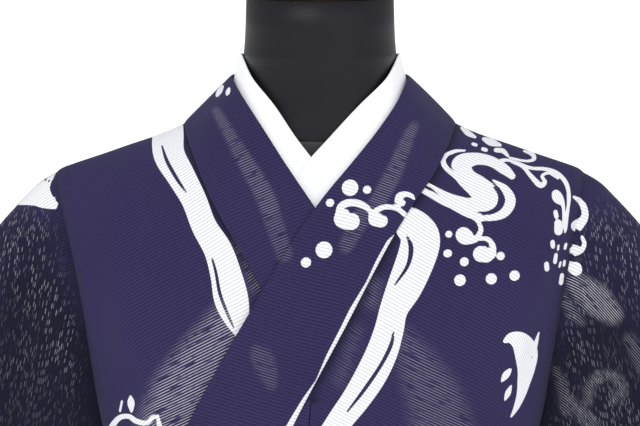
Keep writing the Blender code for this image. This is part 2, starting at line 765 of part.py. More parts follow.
def sash_wing(side, finish):
    """One loop of the bow: a flat hollow loop from the knot out to the side, drooping a little."""
    away = 1.0 if side == "left" else -1.0
    middle_y = knot_back() + 0.0150

    def place(u, v):
        swing = math.radians(360.0 * u)
        along = 0.5 + 0.5 * math.cos(swing)
        out = KNOT_WIDE / 2.0 + SEAM * 3.0 + WALL + WING_LONG * along
        high = lerp(0.055, WING_HIGH, ease(along * 1.6))
        sag = 0.030 * along * along
        half = 0.0105 * abs(math.sin(swing)) ** 0.6
        y = middle_y + math.copysign(half, math.sin(swing)) - 0.010 * along
        return Vector((away * out, y, KNOT_Z - sag + (v - 0.5) * high))

    def heart(point):
        return Vector((away * (KNOT_WIDE + WING_LONG) / 2.0, middle_y, point.z))

    return sheet("sash_wing_" + side, place, 16, 3, finish, WALL, heart, ring=True)


def turned(name, profile, finish):
    """Round solid from a profile of radius and height pairs, top to bottom."""
    mesh = bpy.data.meshes.new(name)
    bm = bmesh.new()
    points = [bm.verts.new((radius, 0.0, z)) for radius, z in profile]
    for first, second in zip(points, points[1:]):
        bm.edges.new((first, second))
    bm.to_mesh(mesh)
    bm.free()
    mesh.materials.append(finish)
    item = bpy.data.objects.new(name, mesh)
    robe_parts.objects.link(item)
    screw = item.modifiers.new("turn", "SCREW")
    screw.steps = TURNED_STEPS
    screw.render_steps = TURNED_STEPS
    screw.use_merge_vertices = True
    screw.merge_threshold = 0.0001
    return item


def neck_cap(finish):
    """Low wooden lid on the neck of the dress form."""
    rim = NECK_TOP_Z + SEAM
    profile = (
        (0.0, rim + 0.0150),
        (0.0200, rim + 0.0142),
        (0.0400, rim + 0.0118),
        (0.0530, rim + 0.0082),
        (0.0575, rim + 0.0050),
        (0.0580, rim + 0.0020),
        (0.0570, rim),
        (0.0, rim),
    )
    return turned("neck_cap", profile, finish)


def stand_base(finish):
    profile = (
        (0.0, BASE_HIGH),
        (0.0600, BASE_HIGH),
        (0.1500, BASE_HIGH - 0.0040),
        (BASE_RADIUS - 0.0030, BASE_HIGH - 0.0070),
        (BASE_RADIUS, 0.0050),
        (BASE_RADIUS, 0.0015),
        (BASE_RADIUS - 0.0015, 0.0),
        (0.0, 0.0),
    )
    return turned("stand_base", profile, finish)


def stand_pole(finish):
    """Pole with a socket at its foot and a flange under the dress form."""
    low = BASE_HIGH + SEAM
    high = TORSO_LOW_Z - SEAM
    profile = (
        (0.0, high),
        (0.0400, high),
        (0.0400, high - 0.0060),
        (POLE_RADIUS + 0.0080, high - 0.0120),
        (POLE_RADIUS, high - 0.0200),
        (POLE_RADIUS, low + 0.0600),
        (POLE_RADIUS + 0.0075, low + 0.0560),
        (POLE_RADIUS + 0.0075, low + 0.0080),
        (0.0340, low + 0.0050),
        (0.0360, low),
        (0.0, low),
    )
    return turned("stand_pole", profile, finish)


BODY_COLUMNS = 12
OVERLAP_COLUMNS = 8
COLLAR_COLUMNS = 6
SLEEVE_COLUMNS = 10
SLEEVE_ROUNDS = 28
SASH_SEGMENTS = 36
TURNED_STEPS = 28
FORM_SEGMENTS = 32

for old in list(bpy.data.objects):
    bpy.data.objects.remove(old, do_unlink=True)

robe_parts = bpy.data.collections.new("yukata_on_dress_form")
bpy.context.scene.collection.children.link(robe_parts)

cotton = finish_material("navy_cotton", NAVY)
white_cotton = finish_material("white_cotton", WHITE)
sash_cloth = finish_material("sash_cloth", SASH_RED)
leatherette = finish_material("black_leatherette", LEATHERETTE)
dark_wood = finish_material("dark_wood", DARK_WOOD)
black_metal = finish_material("black_metal", BLACK_METAL)

for wearer_side in ("right", "left"):
    body_panel(wearer_side, cotton)
    overlap_panel(wearer_side, cotton)
    sleeve(wearer_side, cotton)
    sash_wing(wearer_side, sash_cloth)
collar(cotton)
inner_collar(white_cotton)
sash(sash_cloth)
sash_knot(sash_cloth)
loft("dress_form", FORM, FORM_SEGMENTS, leatherette)
neck_cap(dark_wood)
stand_pole(black_metal)
stand_base(black_metal)
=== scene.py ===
"""Cotton yukata robe on a limbless dress form: fine cloth, materials, camera and light.

Metres, +Z up, the front faces -Y. Left and right are the wearer's: left is +X.
"""
import json
import math

import bmesh
import bpy
import numpy as np
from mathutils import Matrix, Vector

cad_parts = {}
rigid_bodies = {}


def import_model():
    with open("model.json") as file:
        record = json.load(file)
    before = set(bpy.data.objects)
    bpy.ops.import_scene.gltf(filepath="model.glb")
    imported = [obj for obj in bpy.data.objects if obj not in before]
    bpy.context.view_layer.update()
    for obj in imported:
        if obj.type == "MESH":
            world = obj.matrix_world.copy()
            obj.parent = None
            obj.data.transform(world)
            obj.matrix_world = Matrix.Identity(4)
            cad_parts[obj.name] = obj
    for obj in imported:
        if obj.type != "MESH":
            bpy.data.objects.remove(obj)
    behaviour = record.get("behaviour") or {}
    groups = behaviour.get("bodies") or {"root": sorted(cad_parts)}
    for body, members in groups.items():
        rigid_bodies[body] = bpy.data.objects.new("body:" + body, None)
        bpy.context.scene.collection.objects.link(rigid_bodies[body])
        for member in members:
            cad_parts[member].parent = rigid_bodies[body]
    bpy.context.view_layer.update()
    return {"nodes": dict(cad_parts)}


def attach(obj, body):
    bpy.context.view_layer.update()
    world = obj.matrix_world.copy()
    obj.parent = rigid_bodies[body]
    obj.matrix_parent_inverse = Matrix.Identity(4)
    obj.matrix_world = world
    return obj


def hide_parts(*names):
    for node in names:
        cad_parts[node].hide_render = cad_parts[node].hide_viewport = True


for old in list(bpy.data.objects):
    bpy.data.objects.remove(old, do_unlink=True)
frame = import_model()


# Camera, white room and light
# A long lens that looks down a little at the chest, as in the photograph. The room is white
# all round, brighter to the camera than to the cloth.
TARGET = Vector((0.0, 0.0, 1.2131))
DISTANCE = 2.4
ELEVATION = math.radians(7.0)
LENS = 168.75
FILM_WIDTH = 36.0
PICTURE_MIDDLE = (320.0, 213.0)
FOCAL_PIXELS = 2.0 * PICTURE_MIDDLE[0] * LENS / FILM_WIDTH
ROOM_TO_CAMERA = 1.05    # brightness of the white room
ROOM_TO_CLOTH = 0.62

scene = bpy.context.scene
camera_data = bpy.data.cameras.new("camera")
camera_data.lens = LENS
camera_data.sensor_width = FILM_WIDTH
camera_data.clip_end = 200.0
camera = bpy.data.objects.new("camera", camera_data)
camera.location = TARGET + DISTANCE * Vector((0.0, -math.cos(ELEVATION), math.sin(ELEVATION)))
camera.rotation_euler = (math.radians(90.0) - ELEVATION, 0.0, 0.0)
scene.collection.objects.link(camera)
scene.camera = camera
scene.view_settings.view_transform = "Standard"
scene.view_settings.look = "None"

world = bpy.data.worlds.new("white_room")
scene.world = world
world.use_nodes = True
sky = world.node_tree
sky.nodes.clear()
to_camera = sky.nodes.new("ShaderNodeBackground")
to_camera.inputs["Color"].default_value = (1.0, 1.0, 1.0, 1.0)
to_camera.inputs["Strength"].default_value = ROOM_TO_CAMERA
to_cloth = sky.nodes.new("ShaderNodeBackground")
to_cloth.inputs["Color"].default_value = (0.97, 0.98, 1.0, 1.0)
to_cloth.inputs["Strength"].default_value = ROOM_TO_CLOTH
seen = sky.nodes.new("ShaderNodeLightPath")
choose = sky.nodes.new("ShaderNodeMixShader")
sky_out = sky.nodes.new("ShaderNodeOutputWorld")
sky.links.new(seen.outputs["Is Camera Ray"], choose.inputs["Fac"])
sky.links.new(to_cloth.outputs["Background"], choose.inputs[1])
sky.links.new(to_camera.outputs["Background"], choose.inputs[2])
sky.links.new(choose.outputs["Shader"], sky_out.inputs["Surface"])


def add_sun(name, turn, height, strength, spread):
    """Distant light from degrees round the robe (0 is in front, 90 on the right) and up."""
    data = bpy.data.lights.new(name, "SUN")
    data.energy = strength
    data.angle = math.radians(spread)
    sun = bpy.data.objects.new(name, data)
    sun.rotation_euler = (math.radians(90.0 - height), 0.0, math.radians(turn))
    scene.collection.objects.link(sun)


add_sun("key_light", -28.0, 48.0, 1.15, 30.0)
add_sun("fill_light", 38.0, 30.0, 0.55, 50.0)


# Floor
# One wide white floor under the stand.
bpy.ops.mesh.primitive_grid_add(x_subdivisions=8, y_subdivisions=8, size=160.0)
floor = bpy.context.object
floor.name = "floor"
floor.location.z = -0.0005
floor_paint = bpy.data.materials.new("floor_white")
floor_paint.use_nodes = True
floor_shader = floor_paint.node_tree.nodes["Principled BSDF"]
floor_shader.inputs["Base Color"].default_value = (0.95, 0.95, 0.95, 1.0)
floor_shader.inputs["Roughness"].default_value = 0.9
floor_shader.inputs["Emission Color"].default_value = (1.0, 1.0, 1.0, 1.0)
floor_shader.inputs["Emission Strength"].default_value = 0.35
floor.data.materials.append(floor_paint)


# Body panels: cut and drape
# The same dimensions and rules as the solids, so every fine piece lies where its solid is.
# Point rules take degrees round the body, a height and a layer of the wrapped cloth.
WALL = 0.0012            # thickness of the solids' cloth
PITCH = 0.0028           # from one wrapped layer of cloth to the next
UPPER_LAYER = 4.5        # layer on which both sides lie above the sash
SEAM = 0.0003            # open slit where two pieces are sewn together
CURVED_SEAM = 0.0012     # the same on the inside of a rounded seam, where the walls lean together
ROUND = 2.2              # exponent of every level section, 2 being an ellipse
AWAY = {"left": 1.0, "right": -1.0}   # direction of each side along X

# Heights
CHEST_Z = 1.10           # below this the front hangs plumb
BLOUSE_Z = 1.01          # the cloth starts to draw in to the sash
SASH_TOP_Z = 0.976
TUCK_TOP_Z = 0.900       # upper fold of the waist tuck, under the sash
TUCK_LOW_Z = 0.768       # lower fold of the waist tuck
HEM_Z = 0.085
TIP_Z = 1.090            # pointed top of the overlaps, on the collar seam
NAPE_Z = 1.272           # collar seam at the middle of the back
NAPE_RISE = 0.055        # the back's cloth comes down from this much higher at its middle
CHEST_POWER = 1.8        # how square the front turns over from the shoulder

# Height of the shoulder fold: distance from the middle, height
SHOULDER = (
    (0.0000, 1.3450),
    (0.0500, 1.3360),
    (0.0694, 1.3220),
    (0.1076, 1.2850),
    (0.1588, 1.2655),
    (0.2120, 1.2473),
    (0.2300, 1.2400),
)
COLLAR_EDGE = 2          # rows of that table at the collar's free edge and at its seam
COLLAR_PLACE = 3

# Robe above the sash: height, half width, depth to the front, depth to the back
UPPER = (
    (0.960, 0.1492, 0.1179, 0.1080),
    (0.980, 0.1515, 0.1179, 0.1083),
    (1.000, 0.1610, 0.1178, 0.1092),
    (1.020, 0.1730, 0.1176, 0.1100),
    (1.044, 0.1835, 0.1172, 0.1110),
    (1.100, 0.1990, 0.1168, 0.1130),
    (1.134, 0.2066, 0.1166, 0.1140),
    (1.183, 0.2133, 0.1165, 0.1160),
    (1.247, 0.2320, 0.1165, 0.1180),
    (1.345, 0.2400, 0.1165, 0.1180),
)

# Innermost layer of the skirt: height, half width, depth to the front, depth to the back
SKIRT = (
    (0.085, 0.1510, 0.1070, 0.1070),
    (0.450, 0.1610, 0.1110, 0.1130),
    (0.700, 0.1640, 0.1125, 0.1165),
    (0.800, 0.1545, 0.1105, 0.1100),
    (0.880, 0.1415, 0.1075, 0.1005),
    (0.940, 0.1352, 0.1052, 0.0952),
    (1.000, 0.1400, 0.1060, 0.0960),
)

# Side edge of the front and back, where the sleeves are sewn on: height, distance out
ARMHOLE = (
    (1.0100, 0.1650),
    (1.0440, 0.1735),
    (1.1340, 0.1870),
    (1.1830, 0.1970),
    (1.2473, 0.2120),
)

# Collar edges down the chest: height, distance towards the wearer's left.
LEFT_SEAM = (
    (1.0000, -0.0490),
    (1.0630, -0.0207),
    (1.1019, 0.0000),
    (1.2141, 0.0605),
    (1.2278, 0.0697),
    (1.2488, 0.0860),
    (1.2644, 0.0961),
    (1.2850, 0.1076),
)
LEFT_EDGE = (
    (1.0000, -0.1280),
    (1.0612, -0.1018),
    (1.1510, -0.0529),
    (1.2283, -0.0038),
    (1.2557, 0.0198),
    (1.2736, 0.0343),
    (1.2933, 0.0518),
    (1.3220, 0.0694),
)
RIGHT_SEAM = (
    (1.0000, 0.0490),
    (1.0630, 0.0207),
    (1.1019, 0.0000),
    (1.1688, -0.0453),
    (1.1977, -0.0624),
    (1.2374, -0.0861),
    (1.2600, -0.0965),
    (1.2850, -0.1076),
)
RIGHT_EDGE = (
    (1.0000, 0.1260),
    (1.0612, 0.0980),
    (1.1510, 0.0480),
    (1.2283, -0.0038),
    (1.2557, -0.0233),
    (1.2776, -0.0382),
    (1.2988, -0.0527),
    (1.3220, -0.0694),
)

# Edges below the chest, as degrees round the body from the middle of the front,
# counted towards the side that the front wraps to: height, collar seam, free edge, overlap seam
WRAP = (
    (0.085, 44.0, 76.0, 9.0),
    (0.770, 42.0, 74.0, 6.0),
    (0.860, 40.0, 70.0, 5.0),
    (0.930, 32.0, 63.0, 4.0),
    (1.000, 15.7, 51.0, 3.2),
    (1.090, 1.3, 40.0, 1.3),
)


def lerp(a, b, share):
    return a + (b - a) * share


def ease(share):
    """Smooth step from 0 to 1."""
    share = min(max(share, 0.0), 1.0)
    return share * share * (3.0 - 2.0 * share)


def read(table, key):
    """Values of a table at a key between its rows, on a smooth curve through them."""
    rows = len(table)
    if key <= table[0][0]:
        return list(table[0][1:])
    if key >= table[-1][0]:
        return list(table[-1][1:])
    low = max(i for i in range(rows - 1) if table[i][0] <= key)
    step = table[low + 1][0] - table[low][0]
    share = (key - table[low][0]) / step
    values = []
    for column in range(1, len(table[0])):
        rise = (table[low + 1][column] - table[low][column]) / step
        slopes = []
        for row in (low, low + 1):
            if row == 0 or row == rows - 1:
                slopes.append(rise)
                continue
            before = (table[row][column] - table[row - 1][column]) / (table[row][0] - table[row - 1][0])
            after = (table[row + 1][column] - table[row][column]) / (table[row + 1][0] - table[row][0])
            slopes.append(0.0 if before * after <= 0 else 2.0 * before * after / (before + after))
        a, b = slopes
        cubic = share * share * (3.0 - 2.0 * share)
        values.append(
            lerp(table[low][column], table[low + 1][column], cubic)
            + step * share * (1.0 - share) * (a * (1.0 - share) - b * share)
        )
    return values


def section(z, layer):
    """Half width and depths of the robe at a height, on the given layer."""
    if z > UPPER[0][0]:
        return [size + (layer - UPPER_LAYER) * PITCH for size in read(UPPER, z)]
    return [size + layer * PITCH for size in read(SKIRT, z)]


def swell(drop, fall, power):
    """How far the cloth has come forward, from 0 on the shoulder fold to 1 at the chest."""
    share = min(max(drop / fall, 0.0), 1.0)
    return (1.0 - (1.0 - share) ** power) ** (1.0 / power)


def skin(turn, z, layer, back=False):
    """Point on the robe at degrees from the middle of the front or back, height and layer."""
    half, front, rear = section(z, layer)
    angle = math.radians(turn)
    x = half * math.copysign(abs(math.sin(angle)) ** (2.0 / ROUND), angle)
    level = abs(math.cos(angle)) ** (2.0 / ROUND)
    crest = read(SHOULDER, abs(x))[0]
    if back:
        crest += NAPE_RISE * (1.0 - ease(abs(x) / 0.10))
        power = 2.0 + 2.0 * (1.0 - ease(abs(x) / 0.11))
        return Vector((x, rear * level * swell(crest - z, crest - CHEST_Z, power), z))
    return Vector((x, -front * level * swell(crest - z, crest - CHEST_Z, CHEST_POWER), z))


def turn_at(x, z, layer):
    """Degrees round the section at which the robe has this distance from the middle."""
    half = section(z, layer)[0]
    share = min(abs(x) / half, 1.0)
    return math.copysign(math.degrees(math.asin(share ** (ROUND / 2.0))), x)



# Body panels: fine cloth
# A piece starts as exact points of the worn cloth, which are refined on smooth curves. Each
# fine point gets its place in the flat cloth, in metres, for the weave and its ribs.
CLOTH = 0.0007           # real thickness that shows at the edges


def refine(points, factor):
    """Splits each gap between rows into factor parts, on smooth curves that never overshoot.

    The factor is one number, or one for each gap."""
    steps = np.diff(points, axis=0)
    gaps = (np.linalg.norm(steps, axis=2).mean(axis=1) + 1e-9)[:, None, None]
    rise = steps / gaps
    product = rise[:-1] * rise[1:]
    total = np.where(product > 0.0, rise[:-1] + rise[1:], 1.0)
    slope = np.empty_like(points)
    slope[0] = rise[0]
    slope[-1] = rise[-1]
    slope[1:-1] = np.where(product > 0.0, 2.0 * product / total, 0.0)
    fine = []
    for gap, count in enumerate(np.broadcast_to(factor, len(steps))):
        share = (np.arange(count) / count)[:, None, None]
        cubic = share * share * (3.0 - 2.0 * share)
        tangents = slope[gap] * (1.0 - share) - slope[gap + 1] * share
        fine.append(points[gap] + steps[gap] * cubic + gaps[gap] * share * (1.0 - share) * tangents)
    return np.concatenate(fine + [points[-1:]])


def surface(place, columns, rows, fine_columns, fine_rows):
    """Fine grid of points, from exact ones at every column share and row."""
    exact = np.array([[place(u, row) for u in columns] for row in rows])
    fine = refine(exact, fine_rows)
    return refine(fine.transpose(1, 0, 2), fine_columns).transpose(1, 0, 2)


def normals(points):
    """Unit vectors square to the surface, away from the robe's middle line."""
    across = np.gradient(points, axis=1)
    along = np.gradient(points, axis=0)
    square = np.cross(across, along)
    return square / (np.linalg.norm(square, axis=2, keepdims=True) + 1e-12)


def outward_sign(points, heart):
    """+1 where the grid's own normals point away from the heart line, -1 where they point to it."""
    square = np.cross(np.diff(points, axis=1)[:-1], np.diff(points, axis=0)[:, :-1])
    away = (points - heart)[:-1, :-1]
    return 1.0 if (square * away).sum() > 0.0 else -1.0


def flat_places(points, fold_row=0):
    """Where each point lies in the flat cloth: across and along from the fold row, in metres."""
    across = np.zeros(points.shape[:2])
    across[:, 1:] = np.linalg.norm(np.diff(points, axis=1), axis=2).cumsum(axis=1)
    along = np.zeros(points.shape[:2])
    along[1:] = np.linalg.norm(np.diff(points, axis=0), axis=2).cumsum(axis=0)
    return np.stack([across, along - along[fold_row]], axis=2)


def cloth(name, points, flat, fields, heart, thickness=CLOTH):
    """Thin cloth through a grid of points, with named fields for the materials."""
    if outward_sign(points, heart) < 0.0:
        points = points[:, ::-1]
        flat = flat[:, ::-1]
        fields = {key: field[:, ::-1] for key, field in fields.items()}
    rows, columns = points.shape[:2]
    bm = bmesh.new()
    bmesh.ops.create_grid(bm, x_segments=columns - 1, y_segments=rows - 1, size=0.5)
    mesh = bpy.data.meshes.new(name)
    bm.to_mesh(mesh)
    bm.free()
    spot = np.empty(len(mesh.vertices) * 3, dtype=np.float32)
    mesh.vertices.foreach_get("co", spot)
    spot = spot.reshape(-1, 3)
    column = np.rint((spot[:, 0] + 0.5) * (columns - 1)).astype(int)
    row = np.rint((spot[:, 1] + 0.5) * (rows - 1)).astype(int)
    mesh.vertices.foreach_set("co", points[row, column].astype(np.float32).ravel())
    corner = np.empty(len(mesh.loops), dtype=np.int32)
    mesh.loops.foreach_get("vertex_index", corner)
    places = flat[row, column][corner].astype(np.float32)
    while mesh.uv_layers:
        mesh.uv_layers.remove(mesh.uv_layers[0])
    mesh.uv_layers.new(name="flat").uv.foreach_set("vector", places.ravel())
    for key, field in fields.items():
        layer = mesh.attributes.new(key, "FLOAT", "POINT")
        layer.data.foreach_set("value", field[row, column].astype(np.float32).ravel())
    mesh.shade_smooth()
    mesh.update()
    item = bpy.data.objects.new(name, mesh)
    scene.collection.objects.link(item)
    if thickness:
        wall = item.modifiers.new("thickness", "SOLIDIFY")
        wall.thickness = thickness
        wall.offset = 0.0
        wall.use_even_offset = False
    return item


def ramp(value, width):
    """From 0 up to 1 while the value goes from 0 to the width."""
    return np.clip(value / width, 0.0, 1.0)


def hill(value, width):
    """Soft hill of height 1 round zero."""
    return np.exp(-(value / width) ** 2)


def laid_out(points):
    """Line behind each point, unit vectors away from it, and the share of each column."""
    heart = points * np.array([0.0, 0.0, 1.0]) - np.array([0.0, 0.0, 0.02])
    square = normals(points) * outward_sign(points, heart)
    return heart, square, np.linspace(0.0, 1.0, points.shape[1])[None, :]


def folds(points, creases):
    """Sum of soft creases. Each runs between two points seen from the front: x, z, x, z, then
    half width and height in metres, a minus sign for a trough. It fades out at both ends."""
    x = points[..., 0]
    z = points[..., 2]
    rise = np.zeros(x.shape)
    for start_x, start_z, end_x, end_z, width, height in creases:
        along_x = end_x - start_x
        along_z = end_z - start_z
        length = math.hypot(along_x, along_z)
        share = ((x - start_x) * along_x + (z - start_z) * along_z) / length ** 2
        aside = ((x - start_x) * along_z - (z - start_z) * along_x) / length
        bend = width * 0.6 * np.sin(share * 5.0 + start_x * 60.0)
        fade = np.clip(1.0 - (2.0 * share - 1.0) ** 2, 0.0, 1.0) ** 1.2
        rise += height * fade * hill(aside + bend, width)
    return rise


def picture_places(points):
    """Where the camera sees each point, in pixels of the photograph."""
    sine = math.sin(ELEVATION)
    cosine = math.cos(ELEVATION)
    y = points[..., 1]
    up = points[..., 2] - TARGET.z
    depth = DISTANCE + y * cosine - up * sine
    across = PICTURE_MIDDLE[0] + FOCAL_PIXELS * points[..., 0] / depth
    down = PICTURE_MIDDLE[1] - FOCAL_PIXELS * (y * sine + up * cosine) / depth
    return across, down


# Body panels: running-water print
# White streams, curled wave crests, spray drops and plovers, drawn as strokes: each is a row
# of places with a half width, in pixels of the photograph, 0.8 mm each. Gaps are cut out of
# the ink. The cloth's points keep how far inside the ink they are, so its edges stay crisp.
PIXEL = 0.0008
FAR_OUTSIDE = -9.0       # depth inside the ink, in pixels, that places far from it get
STROKE_STEPS = 6         # straight parts between two places of a stroke
THINNEST = 0.1           # half width


def trace(stroke):
    """Smooth dense version of a stroke."""
    rough = np.array(stroke, dtype=float)
    if len(rough) < 3:
        return rough
    ends = np.concatenate([[2.0 * rough[0] - rough[1]], rough, [2.0 * rough[-1] - rough[-2]]])
    share = np.linspace(0.0, 1.0, STROKE_STEPS, endpoint=False)[:, None]
    spans = []
    for a, b, c, d in zip(ends, ends[1:], ends[2:], ends[3:]):
        curve = 2.0 * b + (c - a) * share + (2.0 * a - 5.0 * b + 4.0 * c - d) * share ** 2
        spans.append(0.5 * (curve + (3.0 * b - a - 3.0 * c + d) * share ** 3))
    dense = np.concatenate(spans + [rough[-1:]])
    dense[:, 2] = np.maximum(dense[:, 2], THINNEST)
    return dense


def inside_stroke(stroke, x, y, blur):
    """Which places are near a stroke, and how far inside it each of those is, in pixels."""
    line = trace(stroke)
    margin = line[:, 2].max() - FAR_OUTSIDE + blur
    near = (x > line[:, 0].min() - margin) & (x < line[:, 0].max() + margin)
    near &= (y > line[:, 1].min() - margin) & (y < line[:, 1].max() + margin)
    px = x[near]
    py = y[near]
    depth = line[0, 2] - np.hypot(px - line[0, 0], py - line[0, 1])
    for a, b in zip(line[:-1], line[1:]):
        run = b - a
        share = ((px - a[0]) * run[0] + (py - a[1]) * run[1]) / (run[0] ** 2 + run[1] ** 2 + 1e-9)
        share = np.clip(share, 0.0, 1.0)
        aside = np.hypot(px - a[0] - run[0] * share, py - a[1] - run[1] * share)
        depth = np.maximum(depth, a[2] + run[2] * share - aside)
    return near, depth


def printed(x, y, ink, gaps=()):
    """How far inside the print each place is, in pixels, negative outside."""
    inside = np.full(x.shape, FAR_OUTSIDE)
    for stroke in ink:
        near, depth = inside_stroke(stroke, x, y, 0.0)
        inside[near] = np.maximum(inside[near], depth)
    for stroke in gaps:
        near, depth = inside_stroke(stroke, x, y, 0.0)
        inside[near] = np.minimum(inside[near], -depth)
    return inside


def glow(x, y, patches, blur):
    """Soft patches, from 0 outside to their own strength inside."""
    light = np.zeros(x.shape)
    for strength, stroke in patches:
        near, depth = inside_stroke(stroke, x, y, blur)
        share = np.clip(0.5 + 0.5 * depth / blur, 0.0, 1.0)
        light[near] = np.maximum(light[near], strength * share * share * (3.0 - 2.0 * share))
    return light


def moved(strokes, middle, place, scale=1.0, turn=0.0, hand=1.0):
    """The same strokes turned, scaled, mirrored if hand is -1, and moved to another place."""
    angle = math.radians(turn)
    copies = []
    for stroke in strokes:
        copy = []
        for x, y, half in stroke:
            across = (x - middle[0]) * hand * scale
            down = (y - middle[1]) * scale
            copy.append((
                place[0] + across * math.cos(angle) - down * math.sin(angle),
                place[1] + across * math.sin(angle) + down * math.cos(angle),
                half * scale,
            ))
        copies.append(copy)
    return copies


RIGHT_STREAM = [
    [(168, 112, 14), (168, 132, 15.5), (169, 154, 15.5), (181, 176, 14), (194, 200, 12.5),
     (204, 226, 12.5), (218, 250, 14), (226, 275, 15.5), (231, 298, 17), (236, 316, 13),
     (240, 332, 6)],
]
RIGHT_STREAM_GAPS = [
    [(162, 146, 0.9), (167, 161, 1.8), (177, 179, 1.8), (186, 192, 0.9)],
    [(212, 258, 1.0), (216, 273, 1.5), (220, 294, 1.7), (228, 315, 1.5), (234, 328, 0.9)],
]
STREAM_MIDDLE = (225, 230)
LEFT_STREAM = [
    [(398, 213, 8), (407, 221, 15), (417, 231, 18.5), (420.5, 241, 19.5), (416, 259, 19),
     (405, 286, 17.5), (394, 309, 14), (389, 330, 14.5), (382, 352, 15.5), (371, 375, 15.5),
     (356, 399, 14), (339, 422, 12.5), (322, 450, 12), (308, 482, 10), (300, 515, 5), (298, 540, 1)],
]
LEFT_STREAM_GAPS = [
    [(408, 204, 1.2), (412, 207.5, 1.3), (417, 212, 0.3)],
    [(406.5, 235, 1.0), (411, 248, 2.5), (407.5, 266, 1.9), (394, 286, 0.9)],
    [(393.5, 332, 1.0), (391, 345, 2.0), (381, 365, 1.9), (364, 390, 1.9), (347, 412, 0.9)],
]
SWIRL = [
    [(512, 176, 3.4), (504, 169, 5.2), (490, 161, 5.2), (474, 159, 6.4), (461, 165, 9.5),
     (467, 178, 9.5), (479, 188, 11.5), (488, 198, 12.0), (480, 207, 8.5), (464, 205, 7.6),
     (446, 199, 6.8), (431, 191, 6.2), (418, 184, 5.5)],
    [(465, 150.5, 0.9), (454, 151.5, 1.8), (443.5, 158, 2.6), (445.5, 167, 2.6), (456, 177, 2.2),
     (463, 184, 3.0)],
    [(493, 180, 0.8), (505, 189, 3.8), (510.5, 201, 5.2), (504, 213, 4.6), (489, 218, 3.0),
     (470, 216, 2.2), (452, 208, 1.2)],
]
SWIRL_GAPS = [
    [(494, 187, 1.0), (500, 196, 2.0), (498, 207, 2.4), (488, 212.5, 1.6), (474, 212.5, 0.8)],
    [(420, 184, 1.2), (430, 189, 1.5), (440, 196, 0.2)],
    [(455, 153.5, 0.3), (448.5, 158, 1.5), (450, 166, 1.3), (454, 171, 0.3)],
]
CLAWS = [
    [(470, 216, 1.2), (478, 222, 1.9), (481, 230, 2.4), (477, 238, 3.0)],
    [(463.5, 235, 7.9), (466, 237, 7.6), (475, 239.5, 3.4)],
    [(476, 239, 1.6), (487, 239, 2.4), (493, 246, 2.7), (493, 255, 3.0)],
    [(481, 254, 8.0), (486, 254.5, 8.0)],
]
CLAW_GAPS = [
    [(472.5, 228, 0.8), (473.5, 233, 1.2), (475, 235, 0.8)],
    [(478, 243.5, 0.8), (484, 243.5, 1.5), (488, 247, 1.2)],
]
CREST_GAPS = SWIRL_GAPS + CLAW_GAPS
DROPS = [
    [(448.8, 234.2, 3.6)],
    [(447.2, 253.4, 3.9), (448.2, 253.4, 3.9)],
    [(500.6, 256, 4.2)],
    [(464.3, 261.8, 4.5)],
    [(460, 280.2, 5.8)],
    [(491.3, 278.8, 5.6)],
    [(514.6, 275.6, 5.2)],
]
CREST = SWIRL + CLAWS + DROPS
CREST_MIDDLE = (475, 205)
SPRAY = [
    [(462, 128, 1.6), (468, 133, 2.8), (475, 137, 1.4)],
    [(484, 139, 2.0), (491, 142, 3.8), (500, 145, 1.6)],
    [(473, 144, 1.6), (476, 145, 1.6)],
    [(483, 149, 1.9), (486, 150, 1.9)],
    [(496, 150, 2.2), (503, 151, 2.4), (508, 156, 1.4)],
    [(524, 151, 1.0), (532, 154, 2.2), (534, 159, 1.8), (526, 161, 1.2), (510, 158, 1.2)],
    [(498, 163, 3.0), (505, 160, 1.6), (518, 163, 1.2), (531, 168, 1.6), (545, 169, 1.8),
     (557, 173, 2.0), (566, 183, 2.2), (569, 196, 1.8), (568, 208, 1.6), (566, 218, 2.4),
     (565.5, 228, 1.8), (565, 233, 0.6)],
    [(512, 162, 1.2), (523, 167, 1.6), (531, 176, 2.2), (540, 185, 2.8), (545, 182, 2.0),
     (542, 176, 1.5), (549, 173, 1.4), (558, 178, 1.4)],
    [(556, 194, 4.2), (558, 198, 5.2), (563, 205, 2.0), (563.5, 216, 1.2), (563, 228, 0.9)],
    [(568, 205, 1.0), (567.5, 190, 0.8)],
    [(574, 197, 1.4), (581, 202, 3.0), (585, 211, 3.2), (584, 219, 3.8), (577, 226, 6.0)],
    [(558, 223, 3.6), (558.5, 231, 4.2)],
    [(582, 237, 1.8), (584.5, 244, 2.2), (581, 250, 3.0), (575, 250.5, 5.6)],
    [(575.5, 268, 6.2), (576, 269.5, 6.2)],
]
BEADS = [
    [(555.5, 212, 2.2), (556.5, 216.5, 2.2)],
    [(552.5, 242, 2.2), (553, 246.5, 2.2)],
    [(558.5, 245.5, 1.1), (558, 250, 1.1)],
    [(566, 244, 1.4), (565, 248.5, 1.4)],
    [(556, 255, 1.8), (555, 262, 2.0)],
    [(560.5, 262, 1.1), (559.5, 267, 1.1)],
    [(564.5, 261, 1.4), (564, 265.5, 1.4)],
    [(546.5, 264, 2.4), (547, 269, 2.5)],
    [(562, 275, 2.0), (561, 283, 2.2)],
]
PLOVER = [
    [(505, 341, 2.0), (512, 338, 5.5), (521, 342, 9.5), (526, 352, 11.5), (526, 366, 9.5),
     (524, 381, 6.6), (521, 395, 4.4), (516, 408, 2.6), (511, 417, 0.8)],
    [(530, 354, 5.0), (535, 346, 2.4), (537, 339, 1.6), (539, 332, 0.6)],
    [(510, 370, 1.8), (506, 375, 3.4), (502, 381, 1.2)],
    [(511, 386, 1.0), (508, 393, 2.8), (505, 400, 0.9)],
]
PLOVER_MIDDLE = (520, 375)
PLOVER_GAPS = [
    [(515, 358, 0.5), (516, 371, 1.7), (517, 383, 0.4)],
    [(532, 357, 1.1)],
]


